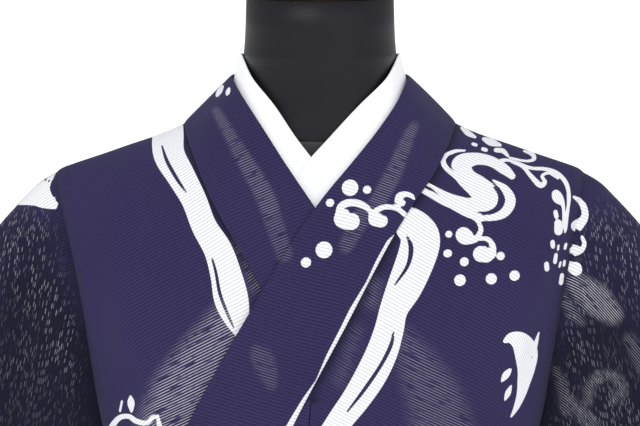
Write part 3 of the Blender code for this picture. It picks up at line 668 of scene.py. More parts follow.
# Body panels: ribbed gauze cotton
# Navy rows woven close, with a rib every 2.7 mm and open rows between them. White ink lies on
# the rib tops. Where pale cloth is underneath, the open rows show it as fine bright lines.
RIB = 0.0027             # from rib to rib
RIB_WANDER = 0.0016      # how far a rib strays from straight
OPEN_ROW = RIB * 0.78    # from one open row to the next
DASH_ROW = 0.0026        # the sleeves' open dashes: distance between their rows, and along a row
DASH_STEP = 0.0047
DASH_LEAN = 0.62         # sideways for each metre down
DARK_NAVY = (0.0110, 0.0078, 0.0395, 1.0)
LIGHT_NAVY = (0.0420, 0.0320, 0.1080, 1.0)
EDGE_NAVY = (0.0130, 0.0140, 0.0650, 1.0)
SHADOW_NAVY = (0.004, 0.004, 0.014, 1.0)
HANGING_NAVY = (0.006, 0.006, 0.022, 1.0)
PALE_UNDER = (0.52, 0.50, 0.54, 1.0)
# painted backlight: pale colour of the sleeves' open dashes, where the white room behind shines through
BACKLIGHT_DASH_COLOUR = (0.36, 0.36, 0.42, 1.0)
INK_SHADE = (0.44, 0.46, 0.52, 1.0)
INK_WHITE = (0.86, 0.87, 0.89, 1.0)


def node(tree, kind, inputs=None, **settings):
    """New node with its settings, its inputs linked to sockets or set to plain values."""
    made = tree.nodes.new(kind)
    for key, value in settings.items():
        setattr(made, key, value)
    for key, value in (inputs or {}).items():
        if isinstance(value, bpy.types.NodeSocket):
            tree.links.new(value, made.inputs[key])
        else:
            made.inputs[key].default_value = value
    return made


def maths(tree, operation, first, second=0.0, third=0.0):
    inputs = {0: first, 1: second}
    if operation == "MULTIPLY_ADD":
        inputs[2] = third
    return node(tree, "ShaderNodeMath", inputs, operation=operation).outputs[0]


def blend(tree, share, first, second):
    made = node(tree, "ShaderNodeMix", {0: share, 6: first, 7: second}, data_type="RGBA")
    return made.outputs[2]


def step_up(tree, value, low, high):
    """Smooth step from 0 at low to 1 at high."""
    inputs = {"Value": value, "From Min": low, "From Max": high}
    return node(tree, "ShaderNodeMapRange", inputs, interpolation_type="SMOOTHSTEP").outputs[0]


def stretched(tree, vector, scale):
    return node(tree, "ShaderNodeMapping", {"Vector": vector, "Scale": scale}).outputs[0]


def noise(tree, vector, scale, detail=2.0):
    inputs = {"Vector": vector, "Scale": scale, "Detail": detail}
    return node(tree, "ShaderNodeTexNoise", inputs).outputs[0]


def field(tree, name):
    return node(tree, "ShaderNodeAttribute", attribute_name=name).outputs["Fac"]


def finish_shader(tree, shader, colour, height, strength, distance, plain):
    """Links colour and bump to the shader, and sets its plain values."""
    tree.links.new(colour, shader.inputs["Base Color"])
    relief = {"Height": height, "Strength": strength, "Distance": distance}
    raised = node(tree, "ShaderNodeBump", relief)
    tree.links.new(raised.outputs["Normal"], shader.inputs["Normal"])
    for label, value in plain.items():
        shader.inputs[label].default_value = value


def new_group(name, sockets_in, sockets_out):
    """Empty node group with its sockets, each a name and a socket type."""
    group = bpy.data.node_groups.new(name, "ShaderNodeTree")
    for label, kind in sockets_in:
        group.interface.new_socket(name=label, in_out="INPUT", socket_type=kind)
    for label, kind in sockets_out:
        group.interface.new_socket(name=label, in_out="OUTPUT", socket_type=kind)
    return group, group.nodes.new("NodeGroupInput"), group.nodes.new("NodeGroupOutput")


def new_material(name):
    material = bpy.data.materials.new(name)
    material.use_nodes = True
    return material, material.node_tree, material.node_tree.nodes["Principled BSDF"]


def off_middle(tree, value):
    """Distance of a value from the middle of its own whole step, from 0 to 0.5."""
    return maths(tree, "ABSOLUTE", maths(tree, "ADD", maths(tree, "FRACT", value), -0.5))


ribs, ribs_in, ribs_out = new_group(
    "ribbed_gauze",
    [("Flat", "NodeSocketVector")],
    [(label, "NodeSocketFloat") for label in ("Rib", "Open rows", "Dashes", "Yarn")],
)
flat_place = ribs_in.outputs["Flat"]
wander = noise(ribs, flat_place, 22.0)
split = node(ribs, "ShaderNodeSeparateXYZ", {0: flat_place})
across_cloth = split.outputs[0]
down_cloth = maths(ribs, "MULTIPLY_ADD", wander, RIB_WANDER, split.outputs[1])
rib_wave = maths(ribs, "SINE", maths(ribs, "MULTIPLY", down_cloth, 2.0 * math.pi / RIB))
rib_height = maths(ribs, "MULTIPLY_ADD", rib_wave, 0.5, 0.5)
yarn = noise(ribs, stretched(ribs, flat_place, (260.0, 1500.0, 1.0)), 1.0, 3.0)
row_break = noise(ribs, stretched(ribs, flat_place, (70.0, 330.0, 1.0)), 1.0, 2.0)
row_wave = maths(ribs, "SINE", maths(ribs, "MULTIPLY", down_cloth, 2.0 * math.pi / OPEN_ROW))
open_row = step_up(ribs, row_wave, 0.25, 1.0)
open_row = maths(ribs, "MULTIPLY", open_row, step_up(ribs, row_break, 0.28, 0.5))
# dashes stand in leaning rows; each row starts at its own place and each dash has its own chance
dash_lean = maths(ribs, "MULTIPLY_ADD", down_cloth, -DASH_LEAN, across_cloth)
dash_rows = maths(ribs, "MULTIPLY", dash_lean, 1.0 / DASH_ROW)
dash_row = maths(ribs, "FLOOR", dash_rows)
row_start = node(ribs, "ShaderNodeTexWhiteNoise", {"W": dash_row}, noise_dimensions="1D").outputs[0]
row_start = maths(ribs, "MULTIPLY", row_start, 9.0)
dash_run = maths(ribs, "MULTIPLY_ADD", down_cloth, 1.0 / DASH_STEP, row_start)
dash_run = maths(ribs, "MULTIPLY_ADD", row_break, 0.6, dash_run)
dash_cell = {"X": dash_row, "Y": maths(ribs, "FLOOR", dash_run)}
dash_cell = {"Vector": node(ribs, "ShaderNodeCombineXYZ", dash_cell).outputs[0]}
chance = node(ribs, "ShaderNodeTexWhiteNoise", dash_cell, noise_dimensions="2D").outputs[0]
along_dash = off_middle(ribs, dash_run)
beside_dash = off_middle(ribs, dash_rows)
dash_end = step_up(ribs, along_dash, 0.42, 0.20)
dashes = maths(ribs, "MULTIPLY", dash_end, step_up(ribs, beside_dash, 0.29, 0.10))
dashes = maths(ribs, "MULTIPLY", dashes, step_up(ribs, chance, 0.42, 0.95))
for label, value in (("Rib", rib_height), ("Open rows", open_row), ("Dashes", dashes), ("Yarn", yarn)):
    ribs.links.new(value, ribs_out.inputs[label])


def gauze_material(name, hanging=0.0):
    """Printed navy gauze; hanging darkens pieces that hang in their own shadow."""
    material, tree, shader = new_material(name)
    uv = node(tree, "ShaderNodeUVMap", uv_map="flat").outputs[0]
    weave = node(tree, "ShaderNodeGroup", node_tree=ribs)
    tree.links.new(uv, weave.inputs["Flat"])
    rib = weave.outputs["Rib"]
    yarn_tone = maths(tree, "MULTIPLY_ADD", weave.outputs["Yarn"], 0.9, -0.2)
    tone = maths(tree, "MULTIPLY_ADD", rib, 0.55, yarn_tone)
    navy = blend(tree, tone, DARK_NAVY, LIGHT_NAVY)
    facing = node(tree, "ShaderNodeLayerWeight", {"Blend": 0.30}).outputs["Facing"]
    navy = blend(tree, step_up(tree, facing, 0.15, 0.75), navy, EDGE_NAVY)
    cloud = step_up(tree, noise(tree, uv, 9.0, 3.0), 0.35, 0.75)
    navy = blend(tree, maths(tree, "MULTIPLY", cloud, 0.25), navy, DARK_NAVY)
    navy = blend(tree, field(tree, "shadow"), navy, SHADOW_NAVY)
    if hanging:
        navy = blend(tree, hanging, navy, HANGING_NAVY)
    pale = maths(tree, "MULTIPLY", field(tree, "sheer"), weave.outputs["Open rows"])
    navy = blend(tree, pale, navy, PALE_UNDER)
    # painted backlight: the white room behind the sleeves, shining through their open dashes
    backlight_spots = maths(tree, "MULTIPLY", field(tree, "backlight_dots"), weave.outputs["Dashes"])
    navy = blend(tree, backlight_spots, navy, BACKLIGHT_DASH_COLOUR)
    ink = step_up(tree, field(tree, "print"), -0.35, 0.35)
    thin_row = maths(tree, "MULTIPLY", step_up(tree, rib, 0.0, 0.45), 0.8)
    ink_tone = maths(tree, "MULTIPLY_ADD", weave.outputs["Yarn"], 0.5, thin_row)
    white = blend(tree, ink_tone, INK_SHADE, INK_WHITE)
    colour = blend(tree, ink, navy, white)
    height = maths(tree, "MULTIPLY_ADD", weave.outputs["Yarn"], 0.6, rib)
    finish_shader(tree, shader, colour, height, 0.35, 0.0004, {
        "Roughness": 0.88,
        "Specular IOR Level": 0.18,
        "Sheen Weight": 0.06,
        "Sheen Roughness": 0.5,
    })
    return material


robe_gauze = gauze_material("navy_ribbed_gauze")
sleeve_gauze = gauze_material("navy_ribbed_gauze_hanging", 0.15)


# Body panels: the two strips
# One strip a side, from the back hem over the shoulder to the front hem, folded up once
# behind the sash and once below it. The edge at the neck goes on under the collar.
OWN_LAYER = {
    "right": {"outer": 4.0, "inner": 3.4, "skirt": 0.0},
    "left": {"outer": 5.0, "inner": 2.5, "skirt": 1.0},
}
OUTER_HEIGHTS = (0.995, 0.982, 0.965, 0.930, 0.885, 0.840, 0.800)
INNER_HEIGHTS = (0.800, 0.850)
SKIRT_HEIGHTS = (0.860, 0.800, 0.700, 0.540, 0.320, HEM_Z)
BEND_ANGLES = (0.0, 45.0, 90.0, 135.0, 180.0)
NEST = 0.0045            # the right side's lower fold lies this much inside the left side's


def lower_rows():
    rows = [("run", z, "outer", "outer", 0.0) for z in OUTER_HEIGHTS]
    rows += [("low", TUCK_LOW_Z, "outer", "inner", angle) for angle in BEND_ANGLES]
    rows += [("run", z, "inner", "inner", 0.0) for z in INNER_HEIGHTS]
    rows += [("top", TUCK_TOP_Z, "inner", "skirt", angle) for angle in BEND_ANGLES]
    rows += [("run", z, "skirt", "skirt", 0.0) for z in SKIRT_HEIGHTS]
    return rows


def from_middle(turn, back):
    """Share of a side's own layering: all of it on the front, none at the middle of the back."""
    return ease((abs(turn) - 40.0) / 50.0) if back else 1.0


def layer_of(side, role, turn, back):
    """Layer of the cloth. Both sides meet on the same one at the middle of the back."""
    common = (OWN_LAYER["right"][role] + OWN_LAYER["left"][role]) / 2.0
    return lerp(common, OWN_LAYER[side][role], from_middle(turn, back))


def lower_point(side, row, turn, back=False):
    """Point of a row below the chest; folds turn on a half circle between two layers."""
    kind, z, start_role, end_role, angle = row
    start = layer_of(side, start_role, turn, back)
    end = layer_of(side, end_role, turn, back)
    if kind == "run":
        return skin(turn, z, start, back)
    if kind == "low" and side == "right":
        z += NEST * from_middle(turn, back)
    swing = math.radians(angle)
    layer = lerp(start, end, 0.5 - 0.5 * math.cos(swing))
    reach = abs(start - end) / 2.0 * PITCH * math.sin(swing)
    return skin(turn, z - reach if kind == "low" else z + reach, layer, back)


def wrap_turn(z, column):
    return read(WRAP, z)[column]


def front_edge(side, name, z, layer):
    """Degrees of a seam or edge on a front at a height; the left front wraps towards the right."""
    away = AWAY[side]
    tables = {"seam": (LEFT_SEAM, RIGHT_SEAM), "edge": (LEFT_EDGE, RIGHT_EDGE)}
    if name in tables and z >= 1.0:
        table = tables[name][0 if side == "left" else 1]
        return turn_at(read(table, z)[0], z, layer)
    column = {"seam": 0, "edge": 1, "overlap": 2}[name]
    return -away * wrap_turn(z, column)


# Rows of a body panel above the sash, from the shoulder fold (0) down to where it blouses (1)
TIP_STEP = (SHOULDER[COLLAR_PLACE][1] - TIP_Z) / (SHOULDER[COLLAR_PLACE][1] - BLOUSE_Z)
UPPER_STEPS = (0.012, 0.045, 0.10, 0.18, 0.28, 0.39, 0.50, 0.61, TIP_STEP, 0.81, 0.91, 1.0)
NECK_STEP = 0.18         # the back neckline ends at the middle of the back on this row
ARMHOLE_OPENS = 7.0      # degrees by which the side seam opens from the sash to the armhole


def upper_point(side, step, share, back):
    """Point of a row above the sash: share runs from the collar or middle seam to the armhole."""
    away = AWAY[side]
    layer = UPPER_LAYER
    if not back:
        layer = lerp(UPPER_LAYER, OWN_LAYER[side]["outer"], ease(step / 0.3))
    side_z = lerp(ARMHOLE[-1][0], BLOUSE_Z, step)
    side_x = read(ARMHOLE, side_z)[0] - SEAM / 2.0
    seam_x, shoulder_z = SHOULDER[COLLAR_PLACE]
    if back:
        neck = min(step / NECK_STEP, 1.0)
        inner_x = max(seam_x * math.cos(neck * math.pi / 2.0) + CURVED_SEAM / 2.0, SEAM / 2.0)
        inner_z = lerp(shoulder_z, NAPE_Z, neck)
        if step > NECK_STEP:
            inner_z = lerp(NAPE_Z, BLOUSE_Z, (step - NECK_STEP) / (1.0 - NECK_STEP))
    else:
        inner_z = lerp(shoulder_z, BLOUSE_Z, step)
        name = "seam" if step < TIP_STEP + 0.001 else "overlap"
        edge = front_edge(side, name, inner_z, layer)
        inner_x = away * skin(edge, inner_z, layer).x + CURVED_SEAM / 2.0
    first = turn_at(inner_x, inner_z, layer)
    last = turn_at(side_x, side_z, layer)
    turn = lerp(first, last, share)
    inner_drop = read(SHOULDER, abs(inner_x))[0] - inner_z
    side_drop = read(SHOULDER, side_x)[0] - side_z
    if step == 0.0:
        inner_drop = 0.0
    z = lerp(inner_z, side_z, share)
    for _ in range(12):
        x = abs(skin(turn, z, layer, back).x)
        hung = read(SHOULDER, x)[0] - lerp(inner_drop, side_drop, share)
        z = lerp(hung, lerp(inner_z, side_z, share), step)
    return skin(away * turn, z, layer, back)


def half_slit(gap, z):
    """Degrees that half of a slit takes up on the front at a height."""
    return math.degrees(gap / 2.0 / section(z, 0.0)[1])


def side_turn(z):
    """Degrees to the side seam, leaving half of its slit. It opens above the sash."""
    opened = ARMHOLE_OPENS * ease((z - SASH_TOP_Z) / (BLOUSE_Z - SASH_TOP_Z))
    return 90.0 - opened - math.degrees(SEAM / 2.0 / section(z, 0.0)[2]) * 1.5


def inserted(values, count):
    """The values with count - 1 even steps put between each two."""
    fine = []
    for low, high in zip(values, values[1:]):
        fine += [lerp(low, high, step / count) for step in range(count)]
    return fine + [values[-1]]


def extended(points, first, last):
    """The sheet with its two long edges moved outwards by these widths."""
    longer = points.copy()
    start = points[:, 0] - points[:, 1]
    end = points[:, -1] - points[:, -2]
    longer[:, 0] += start / np.linalg.norm(start, axis=1, keepdims=True) * first[:, None]
    longer[:, -1] += end / np.linalg.norm(end, axis=1, keepdims=True) * last[:, None]
    return longer


PRINT_RADIUS = 0.135     # the print is wound round the body at this distance
PRINT_WOUND_Z = 0.99     # below this; above it the front's print lies as the camera sees it
BACK_ON = 1000.0         # the back's places lie this many pixels on from the front's


def front_places(points):
    """Places in the print for the front: as the camera sees the chest, wound round below it."""
    across, down = picture_places(points)
    wound = PICTURE_MIDDLE[0] + np.arctan2(points[..., 0], -points[..., 1]) * PRINT_RADIUS / PIXEL
    fall = PICTURE_MIDDLE[1] - (points[..., 2] - TARGET.z) / PIXEL
    below = points[..., 2] < PRINT_WOUND_Z
    return np.where(below, wound, across), np.where(below, fall, down)


def back_places(points):
    """Places in the print for the back, wound round all of it."""
    start = PICTURE_MIDDLE[0] + BACK_ON
    wound = start + np.arctan2(points[..., 0], points[..., 1]) * PRINT_RADIUS / PIXEL
    return wound, PICTURE_MIDDLE[1] - (points[..., 2] - TARGET.z) / PIXEL


FRONT_GAPS = RIGHT_STREAM_GAPS + LEFT_STREAM_GAPS + CREST_GAPS + PLOVER_GAPS
RIGHT_CORNER = [
    [(108, 436, 4), (113, 425, 3.0), (120, 417.5, 2.6), (129, 416.5, 2.4), (136, 421, 2.6),
     (146, 423, 2.4), (153, 417.5, 2.2), (158, 416, 1.4)],
    [(158, 418, 1.6), (159, 430, 3.0), (150, 440, 3.0)],
    [(130.5, 396.5, 1.2), (131, 403, 3.6), (131.5, 411, 1.4)],
    [(122, 401, 1.0), (120, 411, 1.1)],
]
FRONT_INK = RIGHT_STREAM + LEFT_STREAM + CREST + SPRAY + BEADS + PLOVER + RIGHT_CORNER

# Motifs of the skirt with their own middle, and for each copy: place, scale, turn and hand
SKIRT_MOTIFS = (
    (RIGHT_STREAM, RIGHT_STREAM_GAPS, STREAM_MIDDLE, (
        (130, 800, 1.7, 6.0, 1.0),
        (200, 1190, 1.9, -14.0, -1.0),
        (430, 1480, 1.6, 10.0, 1.0),
        (520, 930, 1.5, 12.0, -1.0),
    )),
    (CREST, CREST_GAPS, CREST_MIDDLE, (
        (360, 900, 1.2, 0.0, 1.0),
        (80, 1040, 1.0, 20.0, -1.0),
        (470, 1220, 1.3, -8.0, 1.0),
        (250, 1480, 1.2, 4.0, -1.0),
        (590, 1500, 1.0, 0.0, 1.0),
    )),
    (PLOVER, PLOVER_GAPS, PLOVER_MIDDLE, (
        (300, 780, 1.2, 30.0, 1.0),
        (420, 1070, 1.1, -50.0, -1.0),
        (100, 1330, 1.2, 120.0, 1.0),
        (330, 1330, 1.0, 10.0, -1.0),
        (560, 1330, 1.1, 60.0, 1.0),
    )),
)


def skirt_print(shift, fall):
    """Strokes and gaps of the skirt, moved sideways and down."""
    ink = []
    gaps = []
    for strokes, cuts, middle, copies in SKIRT_MOTIFS:
        for across, down, scale, turn, hand in copies:
            place = (across + shift, down + fall)
            ink += moved(strokes, middle, place, scale, turn, hand)
            gaps += moved(cuts, middle, place, scale, turn, hand)
    return ink, gaps


SKIRT_INK, SKIRT_GAPS = skirt_print(0.0, 0.0)
BACK_INK, BACK_GAPS = skirt_print(1035.0, 145.0)
BACK_INK += moved(RIGHT_STREAM, STREAM_MIDDLE, (1235, 260), 1.3, -4.0)
BACK_INK += moved(LEFT_STREAM, (370, 340), (1405, 380), 1.2, 8.0, -1.0)
BACK_INK += moved(CREST, CREST_MIDDLE, (1430, 250), 1.1, 10.0)
BACK_INK += moved(PLOVER, PLOVER_MIDDLE, (1190, 430), 1.2, 40.0, -1.0)
SKIRT_STARTS = 600.0     # pixels down the print


def front_print(x, y):
    """How far inside the front's print each place is, above and below the sash."""
    chest = printed(x, y, FRONT_INK, FRONT_GAPS)
    return np.where(y > SKIRT_STARTS, printed(x, y, SKIRT_INK, SKIRT_GAPS), chest)


# Pale patches where the under layers show through the open rows of the chest
CHEST_GLOW = (
    (0.90, [(238, 296, 5), (222, 330, 18), (204, 362, 26), (184, 398, 32), (172, 440, 36)]),
    (0.60, [(242, 246, 3), (252, 264, 5), (256, 284, 5)]),
    (0.32, [(404, 338, 8), (418, 366, 18), (434, 400, 26), (444, 440, 30)]),
    (0.40, [(376, 284, 3), (372, 302, 4)]),
    (0.25, [(357, 332, 3), (340, 380, 4)]),
)


GLOW_BLUR = 12.0         # of their edges, in pixels


def body_rows():
    below = lower_rows()
    ups = inserted([0.0] + list(UPPER_STEPS), 2)
    rows = [("back", row) for row in reversed(below)]
    rows += [("back_up", step) for step in reversed(ups[1:])]
    rows += [("front_up", step) for step in ups]
    rows += [("front", row) for row in below]
    return rows


BODY_FINE_COLUMNS = 8
FRONT_FINE_ROWS = 8
OTHER_FINE_ROWS = 3
SKIRT_FINE_ROW = 0.0070  # height of the skirt's fine rows
FRONT_CREASES = (
    (0.198, 1.235, 0.150, 1.060, 0.010, -0.0022),
    (0.176, 1.246, 0.128, 1.030, 0.014, 0.0018),
    (-0.196, 1.236, -0.150, 1.050, 0.011, -0.0020),
    (-0.172, 1.248, -0.120, 1.020, 0.015, 0.0016),
    (0.140, 1.060, 0.120, 0.955, 0.008, 0.0034),
    (0.112, 1.075, 0.100, 0.955, 0.010, -0.0030),
    (0.088, 1.050, 0.080, 0.955, 0.008, 0.0030),
    (-0.142, 1.050, -0.122, 0.955, 0.009, 0.0034),
    (-0.116, 1.070, -0.102, 0.955, 0.010, -0.0030),
    (-0.086, 1.055, -0.078, 0.955, 0.008, 0.0030),
    (0.110, 0.860, 0.130, 0.120, 0.016, 0.0035),
    (0.075, 0.850, 0.088, 0.150, 0.014, -0.0030),
    (-0.100, 0.860, -0.118, 0.100, 0.018, 0.0035),
    (-0.062, 0.840, -0.060, 0.200, 0.014, -0.0028),
    (0.020, 0.830, 0.040, 0.160, 0.016, 0.0022),
)
BACK_CREASES = (
    (0.192, 1.235, 0.140, 1.040, 0.012, -0.0024),
    (0.150, 1.230, 0.090, 1.000, 0.016, 0.0022),
    (-0.190, 1.236, -0.135, 1.050, 0.012, -0.0022),
    (-0.145, 1.232, -0.094, 0.990, 0.017, 0.0024),
    (0.050, 1.100, 0.040, 0.955, 0.010, 0.0032),
    (0.085, 1.090, 0.078, 0.955, 0.009, -0.0030),
    (0.118, 1.060, 0.104, 0.955, 0.009, 0.0032),
    (-0.046, 1.090, -0.042, 0.955, 0.010, 0.0030),
    (-0.082, 1.100, -0.076, 0.955, 0.009, -0.0028),
    (-0.120, 1.060, -0.108, 0.955, 0.010, 0.0032),
    (0.060, 0.860, 0.072, 0.120, 0.016, 0.0036),
    (-0.055, 0.860, -0.068, 0.110, 0.018, 0.0034),
    (0.115, 0.850, 0.128, 0.140, 0.014, -0.0028),
    (-0.112, 0.840, -0.126, 0.130, 0.015, -0.0030),
)


SEWN_Z = 1.03            # above this the body and the sleeve are sewn together
COLLAR_LAP = 0.0050      # the body goes on this far under the collar
RIB_BEND = 0.062         # how far the ribs run down, at most, on their way to the armhole
ARMHOLE_LAP = 0.0028     # body and sleeve go on this far past their seam, so that no gap shows,
LOW_LAP = 0.0034         # and by this much more below a height
LAP_GROWS_Z = 1.232
SEAM_TROUGH = 0.0026     # the body dips this much at the armhole
SHADE_WIDTH = 0.0050     # of the shadow beside the collar
COLLAR_SHADE = 0.75
ARMHOLE_SHADE = 0.45


def past_armhole(z):
    """How far the cloth goes on past the armhole seam at a height."""
    return ARMHOLE_LAP + LOW_LAP * ramp(LAP_GROWS_Z - z, 0.030)


def drape_body(side):
    """Points of a body panel, its rows and which of them are on the back."""
    away = AWAY[side]

    def place(u, entry):
        where, row = entry
        if where in ("back_up", "front_up"):
            return upper_point(side, row, u, where == "back_up")
        z = row[1]
        last = side_turn(z)
        first = half_slit(SEAM, z)
        if where == "front":
            first += away * front_edge(side, "overlap", z, 0.0)
        return lower_point(side, row, away * lerp(first, last, u), where == "back")

    rows = body_rows()
    kinds = [where for where, _ in rows]
    counts = [FRONT_FINE_ROWS if where == "front_up" else OTHER_FINE_ROWS for where in kinds[:-1]]
    for gap, ((where, row), (_, after)) in enumerate(zip(rows, rows[1:])):
        if where in ("front", "back") and isinstance(after, tuple):
            counts[gap] = max(2, math.ceil(abs(row[1] - after[1]) / SKIRT_FINE_ROW))
    points = surface(place, np.linspace(0.0, 1.0, 19), rows, BODY_FINE_COLUMNS, counts)
    return points, np.repeat(kinds, counts + [1])


def body(side):
    points, kinds = drape_body(side)
    heart, square, share = laid_out(points)
    upper = np.isin(kinds, ("back_up", "front_up"))[:, None]
    back = np.isin(kinds, ("back_up", "back"))[:, None]
    rise = np.where(back, folds(points, BACK_CREASES), folds(points, FRONT_CREASES))
    rise *= ramp(share, 0.25) * ramp(1.0 - share, 0.08)
    sewn = upper & (points[..., 2] > SEWN_Z)
    trough = np.where(sewn, ramp(share - 0.86, 0.14) ** 2 * SEAM_TROUGH, 0.0)
    points = points + square * (rise - trough + CLOTH / 2.0)[..., None]
    collar_side = upper & (points[:, :1, 2] > TIP_Z - 0.01)
    neck = np.where(collar_side[:, 0], COLLAR_LAP, SEAM / 2.0)
    neck = np.where(back[:, 0] & (points[:, 0, 2] < NAPE_Z - 0.002), SEAM / 2.0, neck)
    arm = np.where(sewn[:, -1], past_armhole(points[:, -1, 2]), SEAM / 2.0)
    points = extended(points, neck, arm)
    middle = int(np.argmax(kinds == "front_up"))
    flat = flat_places(points, middle)
    front_x, front_y = front_places(points)
    back_x, back_y = back_places(points)
    x = np.where(back, back_x, front_x)
    y = np.where(back, back_y, front_y)
    ink = np.where(back, printed(x, y, BACK_INK, BACK_GAPS), front_print(x, y))
    sheer = np.where(back | (y > SKIRT_STARTS), 0.0, glow(x, y, CHEST_GLOW, GLOW_BLUR))
    past_lap = np.clip(flat[..., 0] - COLLAR_LAP, 0.0, None)
    near_collar = np.where(collar_side & ~back, hill(past_lap, SHADE_WIDTH), 0.0)
    near_armhole = np.where(sewn, ramp(share - 0.90, 0.10) ** 2, 0.0)
    bend = ramp(share - 0.58, 0.42) ** 2.2 * np.where(upper, 1.0, 0.0)
    flat[..., 1] -= bend * RIB_BEND * np.where(back, -1.0, 1.0)
    shadow = COLLAR_SHADE * near_collar + ARMHOLE_SHADE * near_armhole
    fields = {"print": ink, "sheer": sheer, "backlight_dots": np.zeros(ink.shape), "shadow": shadow}
    piece = cloth("body_" + side + "_cloth", points, flat, fields, heart, 0.0)
    piece.data.materials.append(robe_gauze)
    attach(piece, "root")
    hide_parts("body_" + side)


body("right")
body("left")


# Overlaps
# A pointed strip a side, sewn to the front edge of the body panel, from the collar to the hem.
OVERLAP_TOPS = (1.083, 1.065, 1.045, 1.025, 1.010)
OVERLAP_LAP = 0.0040     # it goes on this far under the collar


def free_share(row):
    """How far an overlap has widened from the collar seam (0) to its own free edge (1)."""
    kind, z, start_role, _, angle = row
    if kind == "low":
        return 0.1 * (angle > 90.0)
    if kind == "top":
        return lerp(0.72, 0.90, angle / 180.0)
    if start_role == "inner":
        return lerp(0.25, 0.50, (z - INNER_HEIGHTS[0]) / (INNER_HEIGHTS[1] - INNER_HEIGHTS[0]))
    return 0.0 if start_role == "outer" else 1.0


def overlap(side):
    away = AWAY[side]
    rows = [("run", z, "outer", "outer", 0.0) for z in OVERLAP_TOPS] + lower_rows()

    def place(u, row):
        z = row[1]
        layer = OWN_LAYER[side]["outer"]
        first = away * front_edge(side, "overlap", z, layer) - half_slit(SEAM, z)
        seam_turn = away * front_edge(side, "seam", z, layer) + half_slit(CURVED_SEAM, z)
        last = lerp(seam_turn, away * front_edge(side, "edge", z, layer), free_share(row))
        return lower_point(side, row, away * lerp(first, last, u))

    points = surface(place, np.linspace(0.0, 1.0, 13), rows, 4, 5)
    heart, square, share = laid_out(points)
    rise = folds(points, FRONT_CREASES) * ramp(1.0 - share, 0.3)
    rise *= ramp(share, 0.08) * np.where(points[..., 2] > 0.99, 0.0, 1.0)
    points = points + square * (rise + CLOTH / 2.0)[..., None]
    under = np.where(points[:, -1, 2] > 1.0, OVERLAP_LAP, 0.0)
    points = extended(points, np.full(len(points), SEAM / 2.0), under)
    flat = flat_places(points)
    x, y = front_places(points)
    ink = front_print(x, y)
    none = np.zeros(ink.shape)
    fields = {"print": ink, "sheer": glow(x, y, CHEST_GLOW, GLOW_BLUR), "backlight_dots": none, "shadow": none}
    piece = cloth("overlap_" + side + "_cloth", points, flat, fields, heart)
    piece.data.materials.append(robe_gauze)
    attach(piece, "root")
    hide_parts("overlap_" + side)


overlap("right")
overlap("left")


# Collar
# One folded band, proud of the body it is sewn to: up the right front, round the back of the
# neck and down the left front. A paler strip runs along its middle, and a white line of the
# print follows its seam on the left front.
# Rows of the collar on a front: height on its seam, how much higher its free edge is there
COLLAR_ROWS = (
    (1.2850, 0.0370),
    (1.2790, 0.0365),
    (1.2700, 0.0350),
    (1.2520, 0.0320),
    (1.2300, 0.0310),
    (1.2050, 0.0310),
    (1.1750, 0.0330),
    (1.1400, 0.0350),
    (1.1050, 0.0360),
    (1.0700, 0.0370),
    (1.0350, 0.0360),
    (1.0080, 0.0330),
    (0.9850, 0.0280),
    (0.9725, 0.0255),
    (0.9600, 0.0230),
    (0.9250, 0.0180),
    (0.8850, 0.0120),
    (0.8400, 0.0060),
    (0.7690, 0.0000),
)
NECK_ARCS = 12           # collar rows round the back of the neck


def nape_outer(swing):
    """Collar seam round the back: swing is 0 on the right shoulder and 180 on the left."""
    angle = math.radians(swing)
    x = -SHOULDER[COLLAR_PLACE][0] * math.cos(angle)
    neck = 1.0 - math.acos(min(abs(x) / SHOULDER[COLLAR_PLACE][0], 1.0)) / (math.pi / 2.0)
    z = lerp(NAPE_Z, SHOULDER[COLLAR_PLACE][1], neck)
    return skin(turn_at(x, z, UPPER_LAYER), z, UPPER_LAYER, back=True)


def nape_ring(swing, half, rear, side_z, rear_z):
    """Level curve round the back of the neck."""
    angle = math.radians(swing)
    x = -half * math.copysign(abs(math.cos(angle)) ** (2.0 / 2.4), math.cos(angle))
    y = rear * abs(math.sin(angle)) ** (2.0 / 2.4)
    return Vector((x, y, lerp(side_z, rear_z, math.sin(angle))))


def skin_inside(turn, z, layer, depth):
    """Point at a depth inside the front of the robe, measured square to the cloth."""
    below = skin(turn, z - 0.001, layer)
    across = skin(turn + 1.0, z - 0.001, layer) - below
    down = skin(turn, z - 0.004, layer) - below
    outwards = down.cross(across).normalized()
    return skin(turn, z, layer) - outwards * depth


def nape_point(swing, share):
    """Point on the collar round the back; share 0 is the seam and 1 is the free edge."""
    edge_x, edge_z = SHOULDER[COLLAR_EDGE]
    return nape_outer(swing).lerp(nape_ring(swing, edge_x, 0.098, edge_z, 1.318), share)


def nape_inside(swing, share, depth):
    """Point at a depth inside the collar at the back of the neck."""
    point = nape_point(swing, share)
    along = nape_point(swing + 2.0, share) - nape_point(swing - 2.0, share)
    outwards = along.cross(nape_point(swing, 1.0) - nape_point(swing, 0.0)).normalized()
    if outwards.dot(Vector((point.x, point.y, 0.0))) < 0.0:
        outwards.negate()
    return point - outwards * depth


def collar_place(side, row, share, layer_side):
    """Degrees, height and layer on the collar down a front; share 0 is the seam, 1 the free edge."""
    seam_z, lift = row
    away = AWAY[side]
    edge_z = seam_z + lift
    lowered = ease((SHOULDER[COLLAR_PLACE][1] - seam_z) / 0.06)
    layer = lerp(UPPER_LAYER, OWN_LAYER[layer_side]["outer"], lowered)
    first = front_edge(side, "seam", seam_z, layer) - away * half_slit(CURVED_SEAM, seam_z)
    last = front_edge(side, "edge", edge_z, layer)
    return lerp(first, last, share), lerp(seam_z, edge_z, share), layer


